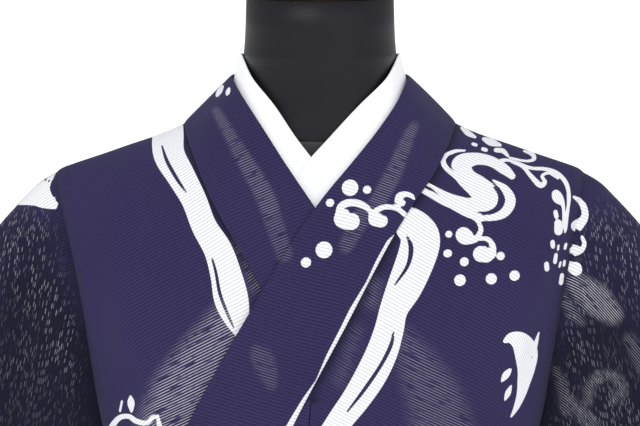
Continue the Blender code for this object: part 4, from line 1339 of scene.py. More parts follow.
COLLAR_INK = [
    [(350, 188, 8.2)],
    [(367, 190, 4.2)],
    [(330, 203, 4.2)],
    [(324, 250, 8.4)],
    [(306, 262.5, 5.2)],
    [(339.5, 214, 4.0), (340.5, 207.5, 3.6), (346, 203.6, 3.7), (355, 203, 3.6), (364, 206, 3.2),
     (371, 212, 2.2)],
    [(343.5, 219, 9.6), (347, 220.5, 9.4), (351, 221.5, 8.6)],
    [(371, 215, 2.8), (379, 209, 2.6), (388, 207, 2.5), (398, 209.5, 2.4), (406, 216, 2.4)],
    [(375, 219.5, 6.8), (381, 221, 6.6)],
    [(397, 201, 2.8), (399, 196, 3.0), (405, 194.3, 2.6), (411, 196, 2.2), (414, 199, 1.4)],
    [(401, 202.5, 4.4)],
    [(223, 87, 1.6), (220, 92, 2.6), (217.6, 96, 1.6)],
    [(229.6, 89, 1.2), (228.5, 92.5, 2.2), (227.5, 95, 1.2)],
    [(300, 470, 7.0)],
    [(282, 500, 5.0)],
]
COLLAR_GAPS = [
    [(350, 213, 1.2), (353, 209.5, 2.2), (360, 210.5, 2.4), (364, 214, 2.0)],
    [(383, 214.8, 1.1), (386, 212.8, 1.6), (391, 213, 1.8)],
    [(404, 200, 1.2), (407.5, 199, 1.6)],
]
COLLAR_GLOW = (
    (0.35, [(217, 112, 4), (232, 138, 6), (248, 166, 8), (262, 190, 9), (270, 208, 9)]),
    (0.25, [(262, 190, 9), (275, 225, 9), (284, 254, 8)]),
    (0.35, [(414, 126, 4), (407, 140, 6), (392, 176, 8), (374, 208, 8)]),
    (0.30, [(364, 214, 9), (346, 246, 7)]),
    (0.20, [(256, 350, 5), (264, 362, 11), (272, 384, 6)]),
)


# White line beside the over collar's seam: places down the picture and its width there, in pixels
EDGE_LINE_PLACES = (234, 240, 260, 282, 309, 331, 354, 380, 398, 426, 470, 520)
EDGE_LINE_WIDTHS = (0.0, 3.2, 3.4, 2.3, 4.4, 3.8, 3.4, 0.9, 3.6, 6.0, 6.5, 0.0)
# How far the ribs lean from the band's rows, along it for each metre across
RIB_LEAN_RIGHT = 0.12
RIB_LEAN_LEFT = 0.28


COLLAR_RISE = 0.0014     # of the fine band's middle over the inner face of its solid


def collar_band():
    rows = [("right", row) for row in reversed(COLLAR_ROWS)]
    rows += [("nape", 180.0 * step / NECK_ARCS) for step in range(1, NECK_ARCS)]
    rows += [("left", row) for row in COLLAR_ROWS]

    def place(u, entry):
        where, row = entry
        if where != "nape":
            return skin(*collar_place(where, row, u, where))
        lean = (nape_point(row, 1.0) - nape_point(row, 0.0)).normalized() * CURVED_SEAM
        return nape_point(row, u) + lean * (1.0 - u)

    return surface(place, np.linspace(0.0, 1.0, 9), rows, 5, 14)


points = collar_band()
heart, square, share = laid_out(points)
edge_round = 0.0004 * np.clip(1.0 - np.minimum(share, 1.0 - share) / 0.05, 0.0, 1.0) ** 2
wave = 0.0005 * np.sin(np.linspace(0.0, 61.0, len(points)))[:, None] * np.sin(math.pi * share)
points = points + square * (COLLAR_RISE - edge_round + wave)[..., None]
points = extended(points, np.full(len(points), 0.0009), np.full(len(points), 0.0001))
flat = flat_places(points, len(points) // 2)
left_side = np.arange(len(points))[:, None] > len(points) / 2.0
row_place = flat[..., 1].mean(axis=1, keepdims=True)
flat[..., 1] = row_place + flat[..., 0] * np.where(left_side, -RIB_LEAN_LEFT, RIB_LEAN_RIGHT)
x, y = front_places(points)
shown = (points[..., 1] < 0.0) & (y < SKIRT_STARTS)
# strokes on one side of the neck stay off the other side of the band
over = shown & (left_side | (x < 300.0) & (y < 110.0))
ink = np.where(over, printed(x, y, COLLAR_INK, COLLAR_GAPS), FAR_OUTSIDE)
chest_row = len(points) * 4 // 5
seam = 0 if points[chest_row, 0, 0] > points[chest_row, -1, 0] else -1
past_seam = np.hypot(x - x[:, seam, None], y - y[:, seam, None])
edge_line = np.interp(y, EDGE_LINE_PLACES, EDGE_LINE_WIDTHS) - past_seam
ink = np.where(left_side & shown & (y > EDGE_LINE_PLACES[0]), np.maximum(ink, edge_line), ink)
fields = {
    "print": ink,
    "sheer": np.where(shown, glow(x, y, COLLAR_GLOW, 2.5), 0.0),
    "backlight_dots": np.zeros(ink.shape),
    "shadow": np.zeros(ink.shape),
}
collar = cloth("collar_cloth", points, flat, fields, heart, 0.0014)
collar.data.materials.append(robe_gauze)
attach(collar, "root")
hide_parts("collar")


# White inner collar
# A plain white band inside the robe's collar. It leans on the neck and goes on under the collar.
WHITE = (0.95, 0.95, 0.96, 1.0)
WHITE_SHADE = (0.86, 0.87, 0.90, 1.0)


def white_material():
    """White closely woven cotton with a fine thread and a faint unevenness."""
    material, tree, shader = new_material("white_cotton")
    uv = node(tree, "ShaderNodeUVMap", uv_map="flat").outputs[0]
    threads = noise(tree, stretched(tree, uv, (1900.0, 900.0, 1.0)), 1.0, 2.0)
    cloud = noise(tree, uv, 14.0, 3.0)
    tone = maths(tree, "MULTIPLY_ADD", threads, 0.5, maths(tree, "MULTIPLY", cloud, 0.6))
    colour = blend(tree, step_up(tree, tone, 0.2, 0.8), WHITE_SHADE, WHITE)
    plain = {"Roughness": 0.85, "Specular IOR Level": 0.2, "Sheen Weight": 0.08}
    finish_shader(tree, shader, colour, threads, 0.12, 0.0002, plain)
    return material


# Free edge of the inner collar beside the neck: height at which it comes out of the robe's
# collar, then its distance out, depth to the front and height
INNER_EDGE = (
    (1.1730, -0.0420, 0.0975, 1.1980),
    (1.2110, -0.0200, 0.0870, 1.2330),
    (1.2400, 0.0000, 0.0728, 1.2620),
    (1.2570, 0.0152, 0.0668, 1.2780),
    (1.2810, 0.0333, 0.0560, 1.3016),
    (1.3030, 0.0530, 0.0345, 1.3243),
    (1.3210, 0.0622, 0.0000, 1.3410),
)
INNER_STEP = 0.0010      # it comes out this far below the robe's collar edge
MOUTH_SHARE = 0.98       # where it goes in under the collar, and how far it reaches there,
LOW_SHARE = 0.45         # as shares of the collar's width
INNER_DEPTH = {"left": 0.0021, "right": 0.0046}
MOUTH_DEPTH = 0.0014     # deeper by this much at the robe's collar edge
BAND_BEND = 0.6          # share of the band's points that lie before the mouth


def bent_band(free, mouth, low, share):
    """Point on a line from the free edge to the mouth and on to the low edge."""
    if share < BAND_BEND:
        return free.lerp(mouth, share / BAND_BEND)
    return mouth.lerp(low, (share - BAND_BEND) / (1.0 - BAND_BEND))


def inner_front(side, row, share):
    """Point on the inner collar: it leans from the neck to the collar, and on under it."""
    exit_z = row[0] + row[1] - INNER_STEP
    out, depth, z = read(INNER_EDGE, exit_z)
    away = AWAY[side]
    free = Vector((away * out, -depth, z))
    if side == "right":
        free.y += 0.0022 * ease((1.2850 - z) / 0.02)
    inside = lerp(INNER_DEPTH["left"], INNER_DEPTH[side], ease((1.3000 - z) / 0.03))
    mouth = skin_inside(*collar_place(side, row, MOUTH_SHARE, "right"), inside + MOUTH_DEPTH)
    low = skin_inside(*collar_place(side, row, LOW_SHARE, "right"), inside)
    return bent_band(free, mouth, low, share)


LEFT_CROSSING = 0.0098   # the left end's free edge crosses this much further over the right one
RIGHT_SHIFT = 0.0022     # the right end's free edge moves the same way by this much,
RIGHT_TIP = 0.0026       # and by this much more at the bottom of the opening


def inner_band():
    shown = [row for row in COLLAR_ROWS if row[0] + row[1] - INNER_STEP >= INNER_EDGE[0][0]]
    rows = [("right", row) for row in reversed(shown)]
    rows += [("nape", 180.0 * step / NECK_ARCS) for step in range(1, NECK_ARCS)]
    rows += [("left", row) for row in shown]
    out, _, side_z = INNER_EDGE[-1][1:]

    def place(u, entry):
        where, row = entry
        if where != "nape":
            point = inner_front(where, row, u)
            free_edge = 1.0 - ease(u / BAND_BEND)
            if where == "left":
                point.x -= LEFT_CROSSING * ease((1.335 - point.z) / 0.062) * free_edge
            else:
                point.x -= RIGHT_SHIFT * ease((1.310 - point.z) / 0.040) * free_edge
                point.x -= RIGHT_TIP * ease((1.280 - point.z) / 0.017) * free_edge
            return point
        free = nape_ring(row, out, 0.0900, side_z, 1.3290)
        mouth = nape_inside(row, MOUTH_SHARE, INNER_DEPTH["left"] + MOUTH_DEPTH)
        low = nape_inside(row, LOW_SHARE, INNER_DEPTH["left"])
        return bent_band(free, mouth, low, u)

    return surface(place, np.linspace(0.0, 1.0, 11), rows, 3, 8)


points = inner_band()
heart, square, share = laid_out(points)
points = points + square * (0.0006 - 0.0003 * np.clip(1.0 - share / 0.06, 0.0, 1.0) ** 2)[..., None]
inner_collar = cloth("inner_collar_cloth", points, flat_places(points), {}, heart, 0.0011)
inner_collar.data.materials.append(white_material())
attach(inner_collar, "root")
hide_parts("inner_collar")


# Sleeves
# Bag sleeves folded at the top, hanging empty from the armholes, with soft drag folds and a
# rounded lower corner. A sparse net of pale dashes is painted backlight: the white room behind is
# seen through both layers of gauze. Pale ghosts of the print lie on the layer behind.
SLEEVE_TOP = 5           # row of the shoulder fold at which the sleeve starts
FOLD_SLOPE = 43.0        # degrees down at the shoulder
LOWEST_SLOPE = 68.0
SLEEVE_WIDTH = 0.330
SLEEVE_DEPTH = 0.490
SEWN_DEPTH = 0.230       # how far down the sleeve is sewn to the body
CUFF_DEPTH = 0.230       # how far down the outer edge is left open
ARMHOLE_SLIT = 0.0019    # between the inner faces there, because the walls lean together

# Free inner edge of the hanging sleeve below its seam: depth, out, half thickness, height
SLEEVE_INNER = (
    (0.230, 0.1701, 0.0330, 1.0200),
    (0.300, 0.1745, 0.0350, 0.9500),
    (0.400, 0.1830, 0.0320, 0.8510),
    (0.490, 0.2040, 0.0080, 0.7600),
)


def sleeve_fold(share):
    """Top fold of the hanging sleeve, steepening from the shoulder to the cuff."""
    x, z = SHOULDER[SLEEVE_TOP]
    steps = 40
    for step in range(round(steps * share)):
        slope = math.radians(min(FOLD_SLOPE + 120.0 * SLEEVE_WIDTH * step / steps, LOWEST_SLOPE))
        x += math.cos(slope) * SLEEVE_WIDTH / steps
        z -= math.sin(slope) * SLEEVE_WIDTH / steps
    return x, z


def sleeve_inner(depth, back):
    """Inner edge of the sleeve: along the armhole seam, then hanging free beside the body."""
    if depth >= SEWN_DEPTH:
        return read(SLEEVE_INNER, depth)
    z = lerp(ARMHOLE[-1][0], SLEEVE_INNER[0][3], depth / SEWN_DEPTH)
    x = read(ARMHOLE, z)[0] + ARMHOLE_SLIT
    turn = turn_at(x - ARMHOLE_SLIT, z, UPPER_LAYER)
    y = abs(skin(turn, z, UPPER_LAYER, back).y)
    return [x, y, z]


CUFF_LEAN = -0.024       # the outer edge hangs inwards by this much
CUFF_DROP = 0.472        # height that the outer edge takes up, hanging with slack
CUFF_HALF = 0.013        # half thickness of the open cuff
CORNER_ROUND = 0.13      # how far the rounded lower corner stops short of a square one
CORNER_START = 0.70      # share of the width at which it starts to round
PUFF = 0.012             # how far the two layers stand apart at the middle of the sleeve
SEWN_HALF = 0.0022       # half thickness where the cuff is sewn shut
SWAY = 0.010             # how far the hanging sleeve waves to the front and back
SEAM_DIP = 0.0034        # the sleeve dips this much at the armhole


def sleeve_point(away, across, round_share):
    """Point on a bag sleeve: across from the armhole to the cuff, round from the top fold."""
    back = round_share > 0.5
    down = 2.0 * (1.0 - round_share if back else round_share)
    down *= 1.0 - CORNER_ROUND * max(0.0, (across - CORNER_START) / (1.0 - CORNER_START)) ** 2.5
    depth = down * SLEEVE_DEPTH
    fold_x, fold_z = sleeve_fold(across)
    tip_x, tip_z = sleeve_fold(1.0)
    start_x, start_z = SHOULDER[SLEEVE_TOP]
    inner_x, inner_half, inner_z = sleeve_inner(depth, back)
    low_x, _, low_z = SLEEVE_INNER[-1][1:]
    cuff_x = tip_x + CUFF_LEAN * ease(down) ** 0.8
    cuff_z = tip_z - CUFF_DROP * down
    end_x = tip_x + CUFF_LEAN
    end_z = tip_z - CUFF_DROP
    hem_x = lerp(low_x, end_x, across)
    hem_z = lerp(low_z, end_z, across ** 0.9)
    corner_x = lerp(lerp(start_x, low_x, down), lerp(tip_x, end_x, down), across)
    corner_z = lerp(lerp(start_z, low_z, down), lerp(tip_z, end_z, down), across)
    x = lerp(fold_x, hem_x, down) + lerp(inner_x, cuff_x, across) - corner_x
    z = lerp(fold_z, hem_z, down) + lerp(inner_z, cuff_z, across) - corner_z
    sewn = ease((depth - CUFF_DEPTH) / 0.04) * ease((across - 0.75) / 0.25)
    cuff_half = CUFF_HALF * min(1.0, (depth / 0.04) ** 0.6)
    half = lerp(inner_half, cuff_half, ease(across) ** 0.75)
    half += PUFF * math.sin(math.pi * across) * math.sin(math.pi * min(down, 1.0)) ** 0.8
    half = lerp(half, SEWN_HALF, sewn)
    half *= min(1.0, ((SLEEVE_DEPTH - depth) / 0.03) ** 0.5)
    sway = SWAY * down * math.sin(math.pi * across) * math.sin(math.radians(560.0 * across + 40.0))
    return Vector((away * x, sway + (half if back else -half), z))


SLEEVE_INK = (
    SPRAY + BEADS
    + moved(RIGHT_STREAM, STREAM_MIDDLE, (700, 620), 1.5, -30.0)
    + moved(CREST, CREST_MIDDLE, (720, 470), 1.1, 40.0)
    + moved(PLOVER, PLOVER_MIDDLE, (760, 640), 1.1, 20.0, -1.0)
    + [
        [(20, 202, 3.0), (28, 196, 9.0), (38, 192, 14.0), (44, 198, 10.0), (52, 204, 5.0),
         (61, 207, 2.4)],
        [(38, 182, 6.0), (46, 174, 6.0), (52, 172, 4.0), (54, 180, 2.6)],
        [(57, 167, 2.8), (60, 170, 2.8)],
        [(57, 181, 1.0), (62, 189, 1.2)],
    ]
    + moved(RIGHT_STREAM, STREAM_MIDDLE, (-60, 600), 1.5, 24.0, -1.0)
    + moved(CREST, CREST_MIDDLE, (-90, 440), 1.1, -30.0, -1.0)
    + moved(PLOVER, PLOVER_MIDDLE, (-120, 640), 1.1, -20.0)
)
SLEEVE_GAPS = [
    [(47, 171, 1.2), (46, 176, 2.0), (45, 181, 0.6)],
    [(56, 176, 1.4), (52, 188, 2.4), (57, 196, 3.4), (62, 200, 2.6)],
]
SLEEVE_GLOW = (
    (0.90, [(577, 283, 10), (594, 298, 15), (612, 314, 10)]),
    (0.50, [(566, 300, 4), (572, 312, 5), (582, 322, 3)]),
    (0.42, [(588, 402, 4), (590, 386, 5), (602, 376, 5), (616, 378, 5), (622, 390, 5), (614, 400, 4)]),
    (0.42, [(568, 400, 6), (578, 410, 7), (592, 424, 7)]),
    (0.35, [(630, 340, 6), (640, 360, 7), (652, 384, 6)]),
    (0.35, [(556, 370, 3), (562, 386, 5), (566, 410, 5)]),
)
SLEEVE_CREASES = (
    (0.225, 1.225, 0.345, 0.860, 0.016, 0.0040),
    (0.220, 1.180, 0.290, 0.830, 0.014, -0.0034),
    (0.300, 1.150, 0.380, 0.850, 0.015, 0.0032),
    (0.250, 1.040, 0.260, 0.780, 0.013, 0.0034),
    (-0.228, 1.222, -0.330, 0.850, 0.017, 0.0040),
    (-0.222, 1.170, -0.280, 0.840, 0.013, -0.0034),
    (-0.310, 1.140, -0.376, 0.870, 0.014, 0.0034),
    (-0.246, 1.030, -0.262, 0.790, 0.014, 0.0032),
)


def soft_patches(points, scale):
    """Soft patches between 0 and 1, from crossing waves."""
    x = points[..., 0] * scale
    z = points[..., 2] * scale
    wave = np.sin(x * 1.3 + 0.7 * z + 0.4) + np.sin(x * 0.6 - 1.1 * z + 2.0)
    wave += np.sin(2.1 * x + 1.7 * z + 1.0) * 0.6
    return np.clip(0.5 + wave / 4.0, 0.0, 1.0)


# Painted shade and painted backlit dashes of a sleeve's lower half: share of the painted shadow
# there, of the painted shadow beside the body, and how much of the backlit dashes goes
LOW_SHADE = {"right": (0.94, 1.0, 0.62), "left": (0.84, 0.7, 0.42)}


def sleeve(side):
    away = AWAY[side]
    rounds = list(np.linspace(0.5, 1.0, 29)) + list(np.linspace(0.0, 0.5, 29)[1:])

    def place(u, round_share):
        return sleeve_point(away, u, round_share)

    points = surface(place, np.linspace(0.0, 1.0, 19), rounds, 6, 9)
    near = ramp(np.abs(points[..., 0]) - 0.19, 0.16)
    heart = np.stack([
        points[..., 0] - away * 0.01 * (1.0 - near),
        np.zeros(near.shape),
        points[..., 2] - 0.01,
    ], axis=2)
    square = normals(points) * outward_sign(points, heart)
    share = np.linspace(0.0, 1.0, points.shape[1])[None, :]
    loop = np.linspace(-1.0, 1.0, len(points))[:, None]
    calm = ramp(share, 0.15) * ramp(1.0 - np.abs(loop), 0.06)
    rise = folds(points, SLEEVE_CREASES) * calm
    sewn = points[:, :1, 2] > SEWN_Z
    dip = np.where(sewn, np.clip(1.0 - share / 0.06, 0.0, 1.0) ** 1.5 * SEAM_DIP, 0.0)
    points = points + square * (rise - dip + CLOTH / 2.0)[..., None]
    lap = np.where(sewn[:, 0], past_armhole(points[:, 0, 2]), 0.0)
    points = extended(points, lap, np.zeros(len(points)))
    flat = flat_places(points, len(points) // 2)
    x, y = picture_places(points)
    front = loop > 0.0
    back_x = 2.0 * PICTURE_MIDDLE[0] - x + 60.0
    back_ink = printed(back_x, y + 20.0, SLEEVE_INK, SLEEVE_GAPS)
    ink = np.where(front, printed(x, y, SLEEVE_INK, SLEEVE_GAPS), back_ink)
    z = points[..., 2]
    seen = 0.25 + 0.75 * ramp(z - 0.90, 0.11)
    low_shade, beside_shade, lost = LOW_SHADE[side]
    low = ramp(1.18 - z, 0.12) * seen * low_shade
    beside = 0.80 * hill(share - 0.12, 0.16) * ramp(1.230 - z, 0.03) * seen
    kept = 1.0 - ramp(1.150 - z, 0.08) * seen * lost
    below_top = 1.0 - ramp(z - 1.205, 0.035)
    # painted backlight: where the white room behind shows through the sleeve's open dashes
    backlight_dots = np.clip(0.10 + 0.75 * soft_patches(points, 38.0), 0.0, 0.8)
    fields = {
        "print": ink,
        "sheer": np.where(front, glow(x, y, SLEEVE_GLOW, 4.0), 0.0),
        "backlight_dots": backlight_dots * ramp(share, 0.06) * below_top * seen * kept,
        "shadow": np.clip(low + beside * beside_shade, 0.0, 0.95),
    }
    piece = cloth("sleeve_" + side + "_cloth", points, flat, fields, heart, 0.0)
    piece.data.materials.append(sleeve_gauze)
    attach(piece, "root")
    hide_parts("sleeve_" + side)


sleeve("right")
sleeve("left")


# Sash and its bow
# A plain ribbed sash, built as the one turn that shows, with a flat bow on the back: a folded
# middle and two loops.
SASH_DARK = (0.200, 0.022, 0.030, 1.0)
SASH_LIGHT = (0.400, 0.070, 0.070, 1.0)


def sash_material():
    material, tree, shader = new_material("ribbed_sash_cloth")
    uv = node(tree, "ShaderNodeUVMap", uv_map="flat").outputs[0]
    split = node(tree, "ShaderNodeSeparateXYZ", {0: uv})
    rib = maths(tree, "SINE", maths(tree, "MULTIPLY", split.outputs[0], 2.0 * math.pi / 0.0022))
    rib = maths(tree, "MULTIPLY_ADD", rib, 0.5, 0.5)
    slub = noise(tree, stretched(tree, uv, (420.0, 60.0, 1.0)), 1.0, 3.0)
    tone = maths(tree, "MULTIPLY_ADD", rib, 0.5, maths(tree, "MULTIPLY", slub, 0.6))
    colour = blend(tree, tone, SASH_DARK, SASH_LIGHT)
    height = maths(tree, "MULTIPLY_ADD", slub, 0.4, rib)
    plain = {"Roughness": 0.72, "Sheen Weight": 0.15}
    finish_shader(tree, shader, colour, height, 0.4, 0.0005, plain)
    return material


sash_cotton = sash_material()

SASH_WALL = 0.0026
SASH_LOW_Z = 0.830
SASH_CLEAR = 0.0014      # from the collar under it
COLLAR_WALL = 0.0018


def sash_point(turn, z, clear):
    """Point on the wound sash, clear of the collar and the tuck under it."""
    half, front, rear = [size + 5.0 * PITCH + COLLAR_WALL + clear for size in read(SKIRT, z)]
    angle = math.radians(turn)
    x = half * math.copysign(abs(math.sin(angle)) ** (2.0 / ROUND), math.sin(angle))
    depth = front if math.cos(angle) > 0 else rear
    y = -depth * math.copysign(abs(math.cos(angle)) ** (2.0 / ROUND), math.cos(angle))
    return Vector((x, y, z))


KNOT_WIDE = 0.058
KNOT_HIGH = 0.072
KNOT_DEEP = 0.026
WING_LONG = 0.125
WING_HIGH = 0.135
KNOT_Z = 0.925
KNOT_ROUND = 0.009


def knot_back():
    """Depth of the sash's outer face where the flat of the knot starts."""
    return sash_point(180.0, KNOT_Z - KNOT_HIGH / 2.0 + 0.8 * KNOT_ROUND, SASH_CLEAR).y + SASH_WALL


def finish_sash_piece(piece, node_name):
    piece.data.materials.append(sash_cotton)
    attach(piece, "root")
    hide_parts(node_name)


def wind_sash():
    rows = list(np.linspace(0.0, 1.0, 25))

    def place(u, row):
        return sash_point(360.0 * u - 180.0, lerp(SASH_LOW_Z, SASH_TOP_Z, row), SASH_CLEAR)

    return surface(place, np.linspace(0.0, 1.0, 73), rows, 3, 2)


points = wind_sash()
heart = points * np.array([0.0, 0.0, 1.0])
square = normals(points) * outward_sign(points, heart)
turn = np.linspace(-math.pi, math.pi, points.shape[1])[None, :]
high = np.linspace(0.0, 1.0, len(points))[:, None]
ripple = 0.0009 * np.sin(high * 23.0 + 1.4 * np.sin(turn * 2.0) + turn)
ripple += 0.0006 * np.sin(high * 41.0 + 2.0 * np.sin(turn * 3.0 + 1.0))
ripple -= 0.0022 * hill(high - (0.30 + 0.03 * np.sin(turn * 1.5)), 0.035)
rim = np.clip(1.0 - np.minimum(high, 1.0 - high) / 0.03, 0.0, 1.0) ** 2 * 0.0010
points = points + square * (SASH_WALL / 2.0 + 0.0004 + ripple - rim)[..., None]
sash = cloth("sash_wound", points, flat_places(points), {}, heart, 0.0016)
finish_sash_piece(sash, "sash")

KNOT_PUFF = 3.4          # exponent of the knot's rounded box
rise = np.linspace(-math.pi / 2.0, math.pi / 2.0, 49)[:, None]
round_knot = np.linspace(-math.pi, math.pi, 65)[None, :]
points = np.empty((rise.size, round_knot.size, 3))


def rounded(value):
    return np.sign(value) * np.abs(value) ** (2.0 / KNOT_PUFF)


level = rounded(np.cos(rise))
pleat = 1.0 - 0.05 * np.cos(6.0 * round_knot) ** 8 * np.cos(rise)
points[..., 0] = KNOT_WIDE / 2.0 * level * rounded(np.cos(round_knot)) * pleat
points[..., 1] = KNOT_DEEP / 2.0 * level * rounded(np.sin(round_knot)) * pleat
points[..., 1] += knot_back() + KNOT_DEEP / 2.0 + 2.0 * SEAM
points[..., 2] = KNOT_HIGH / 2.0 * rounded(np.sin(rise)) + KNOT_Z + 0.0 * round_knot
heart = points * 0.0 + np.array([0.0, knot_back() + KNOT_DEEP / 2.0, KNOT_Z])
knot = cloth("sash_knot_folded", points, flat_places(points), {}, heart, 0.0004)
finish_sash_piece(knot, "sash_knot")


LOOP_OFF = 0.0150        # from the back of the sash to the middle of a loop
GATHERED_HIGH = 0.055    # height of a loop where it goes into the knot
LOOP_HALF = 0.0105       # half thickness
LOOP_PLEAT = 0.0016
LOOP_SAG = 0.030         # its end droops and leans in by this much
LOOP_LEAN = 0.010


def bow_loop(side):
    """One loop: flat, gathered where it goes into the knot, drooping a little at its end."""
    away = AWAY[side]
    middle_y = knot_back() + LOOP_OFF
    heights = list(np.linspace(0.0, 1.0, 17))

    def place(u, v):
        swing = math.radians(360.0 * u)
        along = 0.5 + 0.5 * math.cos(swing)
        out = KNOT_WIDE / 2.0 + SEAM * 3.0 + WALL + WING_LONG * along
        high = lerp(GATHERED_HIGH, WING_HIGH, ease(along * 1.6))
        sag = LOOP_SAG * along * along
        half = LOOP_HALF * abs(math.sin(swing)) ** 0.6
        half += LOOP_PLEAT * math.sin(18.0 * v) * (1.0 - along) * abs(math.sin(swing))
        y = middle_y + math.copysign(half, math.sin(swing)) - LOOP_LEAN * along
        return (away * out, y, KNOT_Z - sag + (v - 0.5) * high)

    loop = surface(place, np.linspace(0.0, 1.0, 49), heights, 2, 3)
    centre = np.stack([
        np.full(loop.shape[:2], away * (KNOT_WIDE + WING_LONG) / 2.0),
        np.full(loop.shape[:2], middle_y - 0.005),
        loop[..., 2],
    ], axis=2)
    out = normals(loop) * outward_sign(loop, centre)
    piece = cloth("sash_loop_" + side, loop + out * WALL / 2.0, flat_places(loop), {}, centre, 0.0012)
    finish_sash_piece(piece, "sash_wing_" + side)


bow_loop("right")
bow_loop("left")


# Dress form
# Padded torso and neck in black leatherette with a fine grain. A stitched seam runs round the
# foot of the neck, and the cover is turned in round the rim.
# Height, half width, depth to the front, depth to the back, section exponent
FORM = (
    (0.700, 0.1500, 0.1020, 0.1060, 2.2),
    (0.706, 0.1550, 0.1060, 0.1090, 2.2),
    (0.730, 0.1570, 0.1080, 0.1110, 2.2),
    (0.800, 0.1515, 0.1075, 0.1070, 2.2),
    (0.880, 0.1404, 0.1065, 0.0995, 2.2),
    (0.910, 0.1366, 0.1053, 0.0963, 2.2),
    (0.940, 0.1343, 0.1043, 0.0943, 2.2),
    (1.000, 0.1420, 0.1050, 0.0960, 2.2),
    (1.060, 0.1560, 0.1080, 0.1000, 2.2),
    (1.120, 0.1640, 0.1070, 0.1020, 2.2),
    (1.170, 0.1700, 0.0950, 0.1010, 2.2),
    (1.210, 0.1730, 0.0825, 0.0960, 2.2),
    (1.232, 0.1660, 0.0760, 0.0900, 2.2),
    (1.246, 0.1480, 0.0700, 0.0840, 2.2),
    (1.258, 0.1200, 0.0670, 0.0780, 2.15),
    (1.270, 0.0930, 0.0650, 0.0710, 2.1),
    (1.285, 0.0700, 0.0630, 0.0640, 2.0),
    (1.305, 0.0605, 0.0600, 0.0600, 2.0),
    (1.340, 0.0590, 0.0590, 0.0590, 2.0),
    (1.385, 0.0583, 0.0583, 0.0583, 2.0),
)
NECK_SEAM_Z = 1.2765     # at the middle of the front
NECK_SEAM_RISE = 0.008   # to the back
GROOVE_DEPTH = 0.010     # of the seam, as a share of the neck's radius
GROOVE_WIDTH = 0.0012
RIM_BUMP_Z = 1.341       # height of the puffed rim
RIM_PUFF = 0.0016
FORM_FINE = 96           # points round the form
DARK_COVER = (0.0048, 0.0046, 0.0080, 1.0)
LIGHT_COVER = (0.0120, 0.0116, 0.0170, 1.0)
TORSO_COVER = (0.046, 0.044, 0.048, 1.0)
THREAD = (0.003, 0.003, 0.004, 1.0)


def form_point(turn, z):
    half, front, rear, power = read(FORM, z)
    above = max(z - RIM_BUMP_Z, 0.0)
    puffed = RIM_PUFF * math.exp(-((z - RIM_BUMP_Z) / 0.005) ** 2 if above == 0.0 else -above / 0.016)
    angle = math.radians(turn)
    x = (half + puffed) * math.copysign(abs(math.sin(angle)) ** (2.0 / power), math.sin(angle))
    depth = (front if math.cos(angle) > 0 else rear) + puffed
    y = -depth * math.copysign(abs(math.cos(angle)) ** (2.0 / power), math.cos(angle))
    seam_z = NECK_SEAM_Z + NECK_SEAM_RISE * (0.5 - 0.5 * math.cos(angle))
    groove = 1.0 - GROOVE_DEPTH * math.exp(-((z - seam_z) / GROOVE_WIDTH) ** 2)
    return (x * groove, y * groove, z)


def leatherette_material():
    """Black coated cloth: pebbled grain, soft sheen, faint dust, and stitches along the seam."""
    material, tree, shader = new_material("black_leatherette")
    place = node(tree, "ShaderNodeTexCoord").outputs["Object"]
    split = node(tree, "ShaderNodeSeparateXYZ", {0: place})
    pebbles = node(tree, "ShaderNodeTexVoronoi", {"Vector": place, "Scale": 620.0}).outputs["Distance"]
    fine = noise(tree, place, 900.0, 3.0)
    cloud = noise(tree, place, 18.0, 3.0)
    round_form = maths(tree, "ARCTAN2", split.outputs[0], split.outputs[1])
    stitch = maths(tree, "SINE", maths(tree, "MULTIPLY", round_form, 150.0))
    rise = maths(tree, "ADD", split.outputs[2], -NECK_SEAM_Z)
    lean = maths(tree, "MULTIPLY_ADD", split.outputs[1], 0.06, 0.0046)
    aside = maths(tree, "ABSOLUTE", maths(tree, "SUBTRACT", rise, lean))
    thread = step_up(tree, aside, 0.0011, 0.0006)
    thread = maths(tree, "MULTIPLY", thread, step_up(tree, stitch, -1.4, 0.6))
    tone = maths(tree, "MULTIPLY_ADD", fine, 0.5, maths(tree, "MULTIPLY", cloud, 0.5))
    colour = blend(tree, tone, DARK_COVER, LIGHT_COVER)
    below_seam = step_up(tree, maths(tree, "SUBTRACT", rise, lean), 0.0002, -0.0004)
    colour = blend(tree, maths(tree, "MULTIPLY", below_seam, 0.6), colour, TORSO_COVER)
    colour = blend(tree, thread, colour, THREAD)
    grain = maths(tree, "MULTIPLY_ADD", fine, 0.5, pebbles)
    grain = maths(tree, "MULTIPLY_ADD", thread, 0.8, grain)
    finish_shader(tree, shader, colour, grain, 0.30, 0.0004, {"Specular IOR Level": 0.22})
    tree.links.new(maths(tree, "MULTIPLY_ADD", cloud, 0.15, 0.40), shader.inputs["Roughness"])
    return material


form_rows = inserted([row[0] for row in FORM], 2)
form_rows += [NECK_SEAM_Z + 0.0005 * step for step in range(-6, 24)]
form_rows += [RIM_BUMP_Z + 0.001 * step for step in range(-8, 14)]
form_rows = sorted(set(round(z, 5) for z in form_rows))
skin_points = np.array([
    [form_point(360.0 * step / FORM_FINE - 180.0, z) for step in range(FORM_FINE + 1)]
    for z in form_rows
])
lids = [skin_points[-1] * np.array([share, share, 1.0]) for share in (0.97, 0.90, 0.5, 0.02)]
bottoms = [skin_points[0] * np.array([share, share, 1.0]) for share in (0.02, 0.5, 0.92)]
skin_points = np.concatenate([bottoms, skin_points, lids])
heart = np.zeros(skin_points.shape) + np.array([0.0, 0.0, 1.0])
form = cloth("dress_form_cover", skin_points, flat_places(skin_points), {}, heart, 0.0003)
form.data.materials.append(leatherette_material())
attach(form, "root")
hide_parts("dress_form")


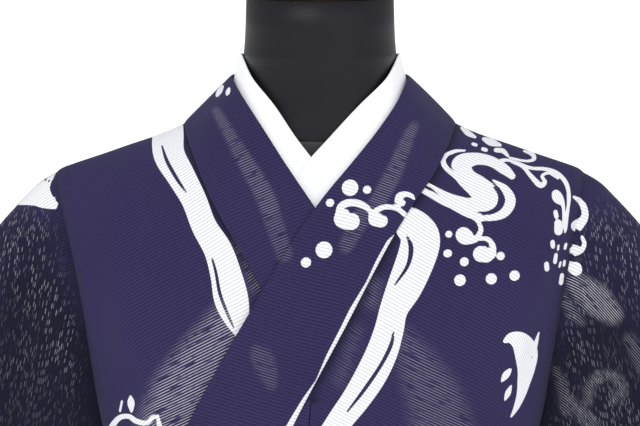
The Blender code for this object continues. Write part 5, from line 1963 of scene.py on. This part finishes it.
# Neck cap and stand
# The turned wooden cap, the pole and the round base keep their solids, with finer finishes.
DARK_WOOD = (0.012, 0.008, 0.007, 1.0)
LIGHT_WOOD = (0.034, 0.022, 0.017, 1.0)
PORE_WOOD = (0.02, 0.008, 0.006, 1.0)
BLACK_PAINT = (0.016, 0.016, 0.018, 1.0)
PAINT_DUST = (0.05, 0.05, 0.052, 1.0)


def wood_material():
    material, tree, shader = new_material("dark_stained_wood")
    place = node(tree, "ShaderNodeTexCoord").outputs["Object"]
    grain = noise(tree, stretched(tree, place, (30.0, 260.0, 260.0)), 1.0, 4.0)
    pores = noise(tree, stretched(tree, place, (200.0, 2400.0, 900.0)), 1.0, 2.0)
    colour = blend(tree, step_up(tree, grain, 0.3, 0.7), DARK_WOOD, LIGHT_WOOD)
    pore_share = maths(tree, "MULTIPLY", step_up(tree, pores, 0.55, 0.75), 0.5)
    colour = blend(tree, pore_share, colour, PORE_WOOD)
    plain = {"Roughness": 0.38, "Coat Weight": 0.3}
    finish_shader(tree, shader, colour, pores, 0.15, 0.0003, plain)
    return material


def metal_material():
    material, tree, shader = new_material("black_painted_metal")
    place = node(tree, "ShaderNodeTexCoord").outputs["Object"]
    peel = noise(tree, place, 260.0, 2.0)
    wear = step_up(tree, noise(tree, place, 34.0, 5.0), 0.60, 0.74)
    dust = step_up(tree, noise(tree, place, 8.0, 3.0), 0.4, 0.8)
    colour = blend(tree, maths(tree, "MULTIPLY", dust, 0.3), BLACK_PAINT, PAINT_DUST)
    rough = maths(tree, "MULTIPLY_ADD", wear, 0.15, 0.34)
    tree.links.new(rough, shader.inputs["Roughness"])
    finish_shader(tree, shader, colour, peel, 0.08, 0.0004, {"Metallic": 0.4})
    return material


def repaint(node_name, material):
    """Gives a solid that stays its own finer material."""
    solid = frame["nodes"][node_name]
    solid.data.materials.clear()
    solid.data.materials.append(material)


repaint("neck_cap", wood_material())
stand_paint = metal_material()
repaint("stand_pole", stand_paint)
repaint("stand_base", stand_paint)
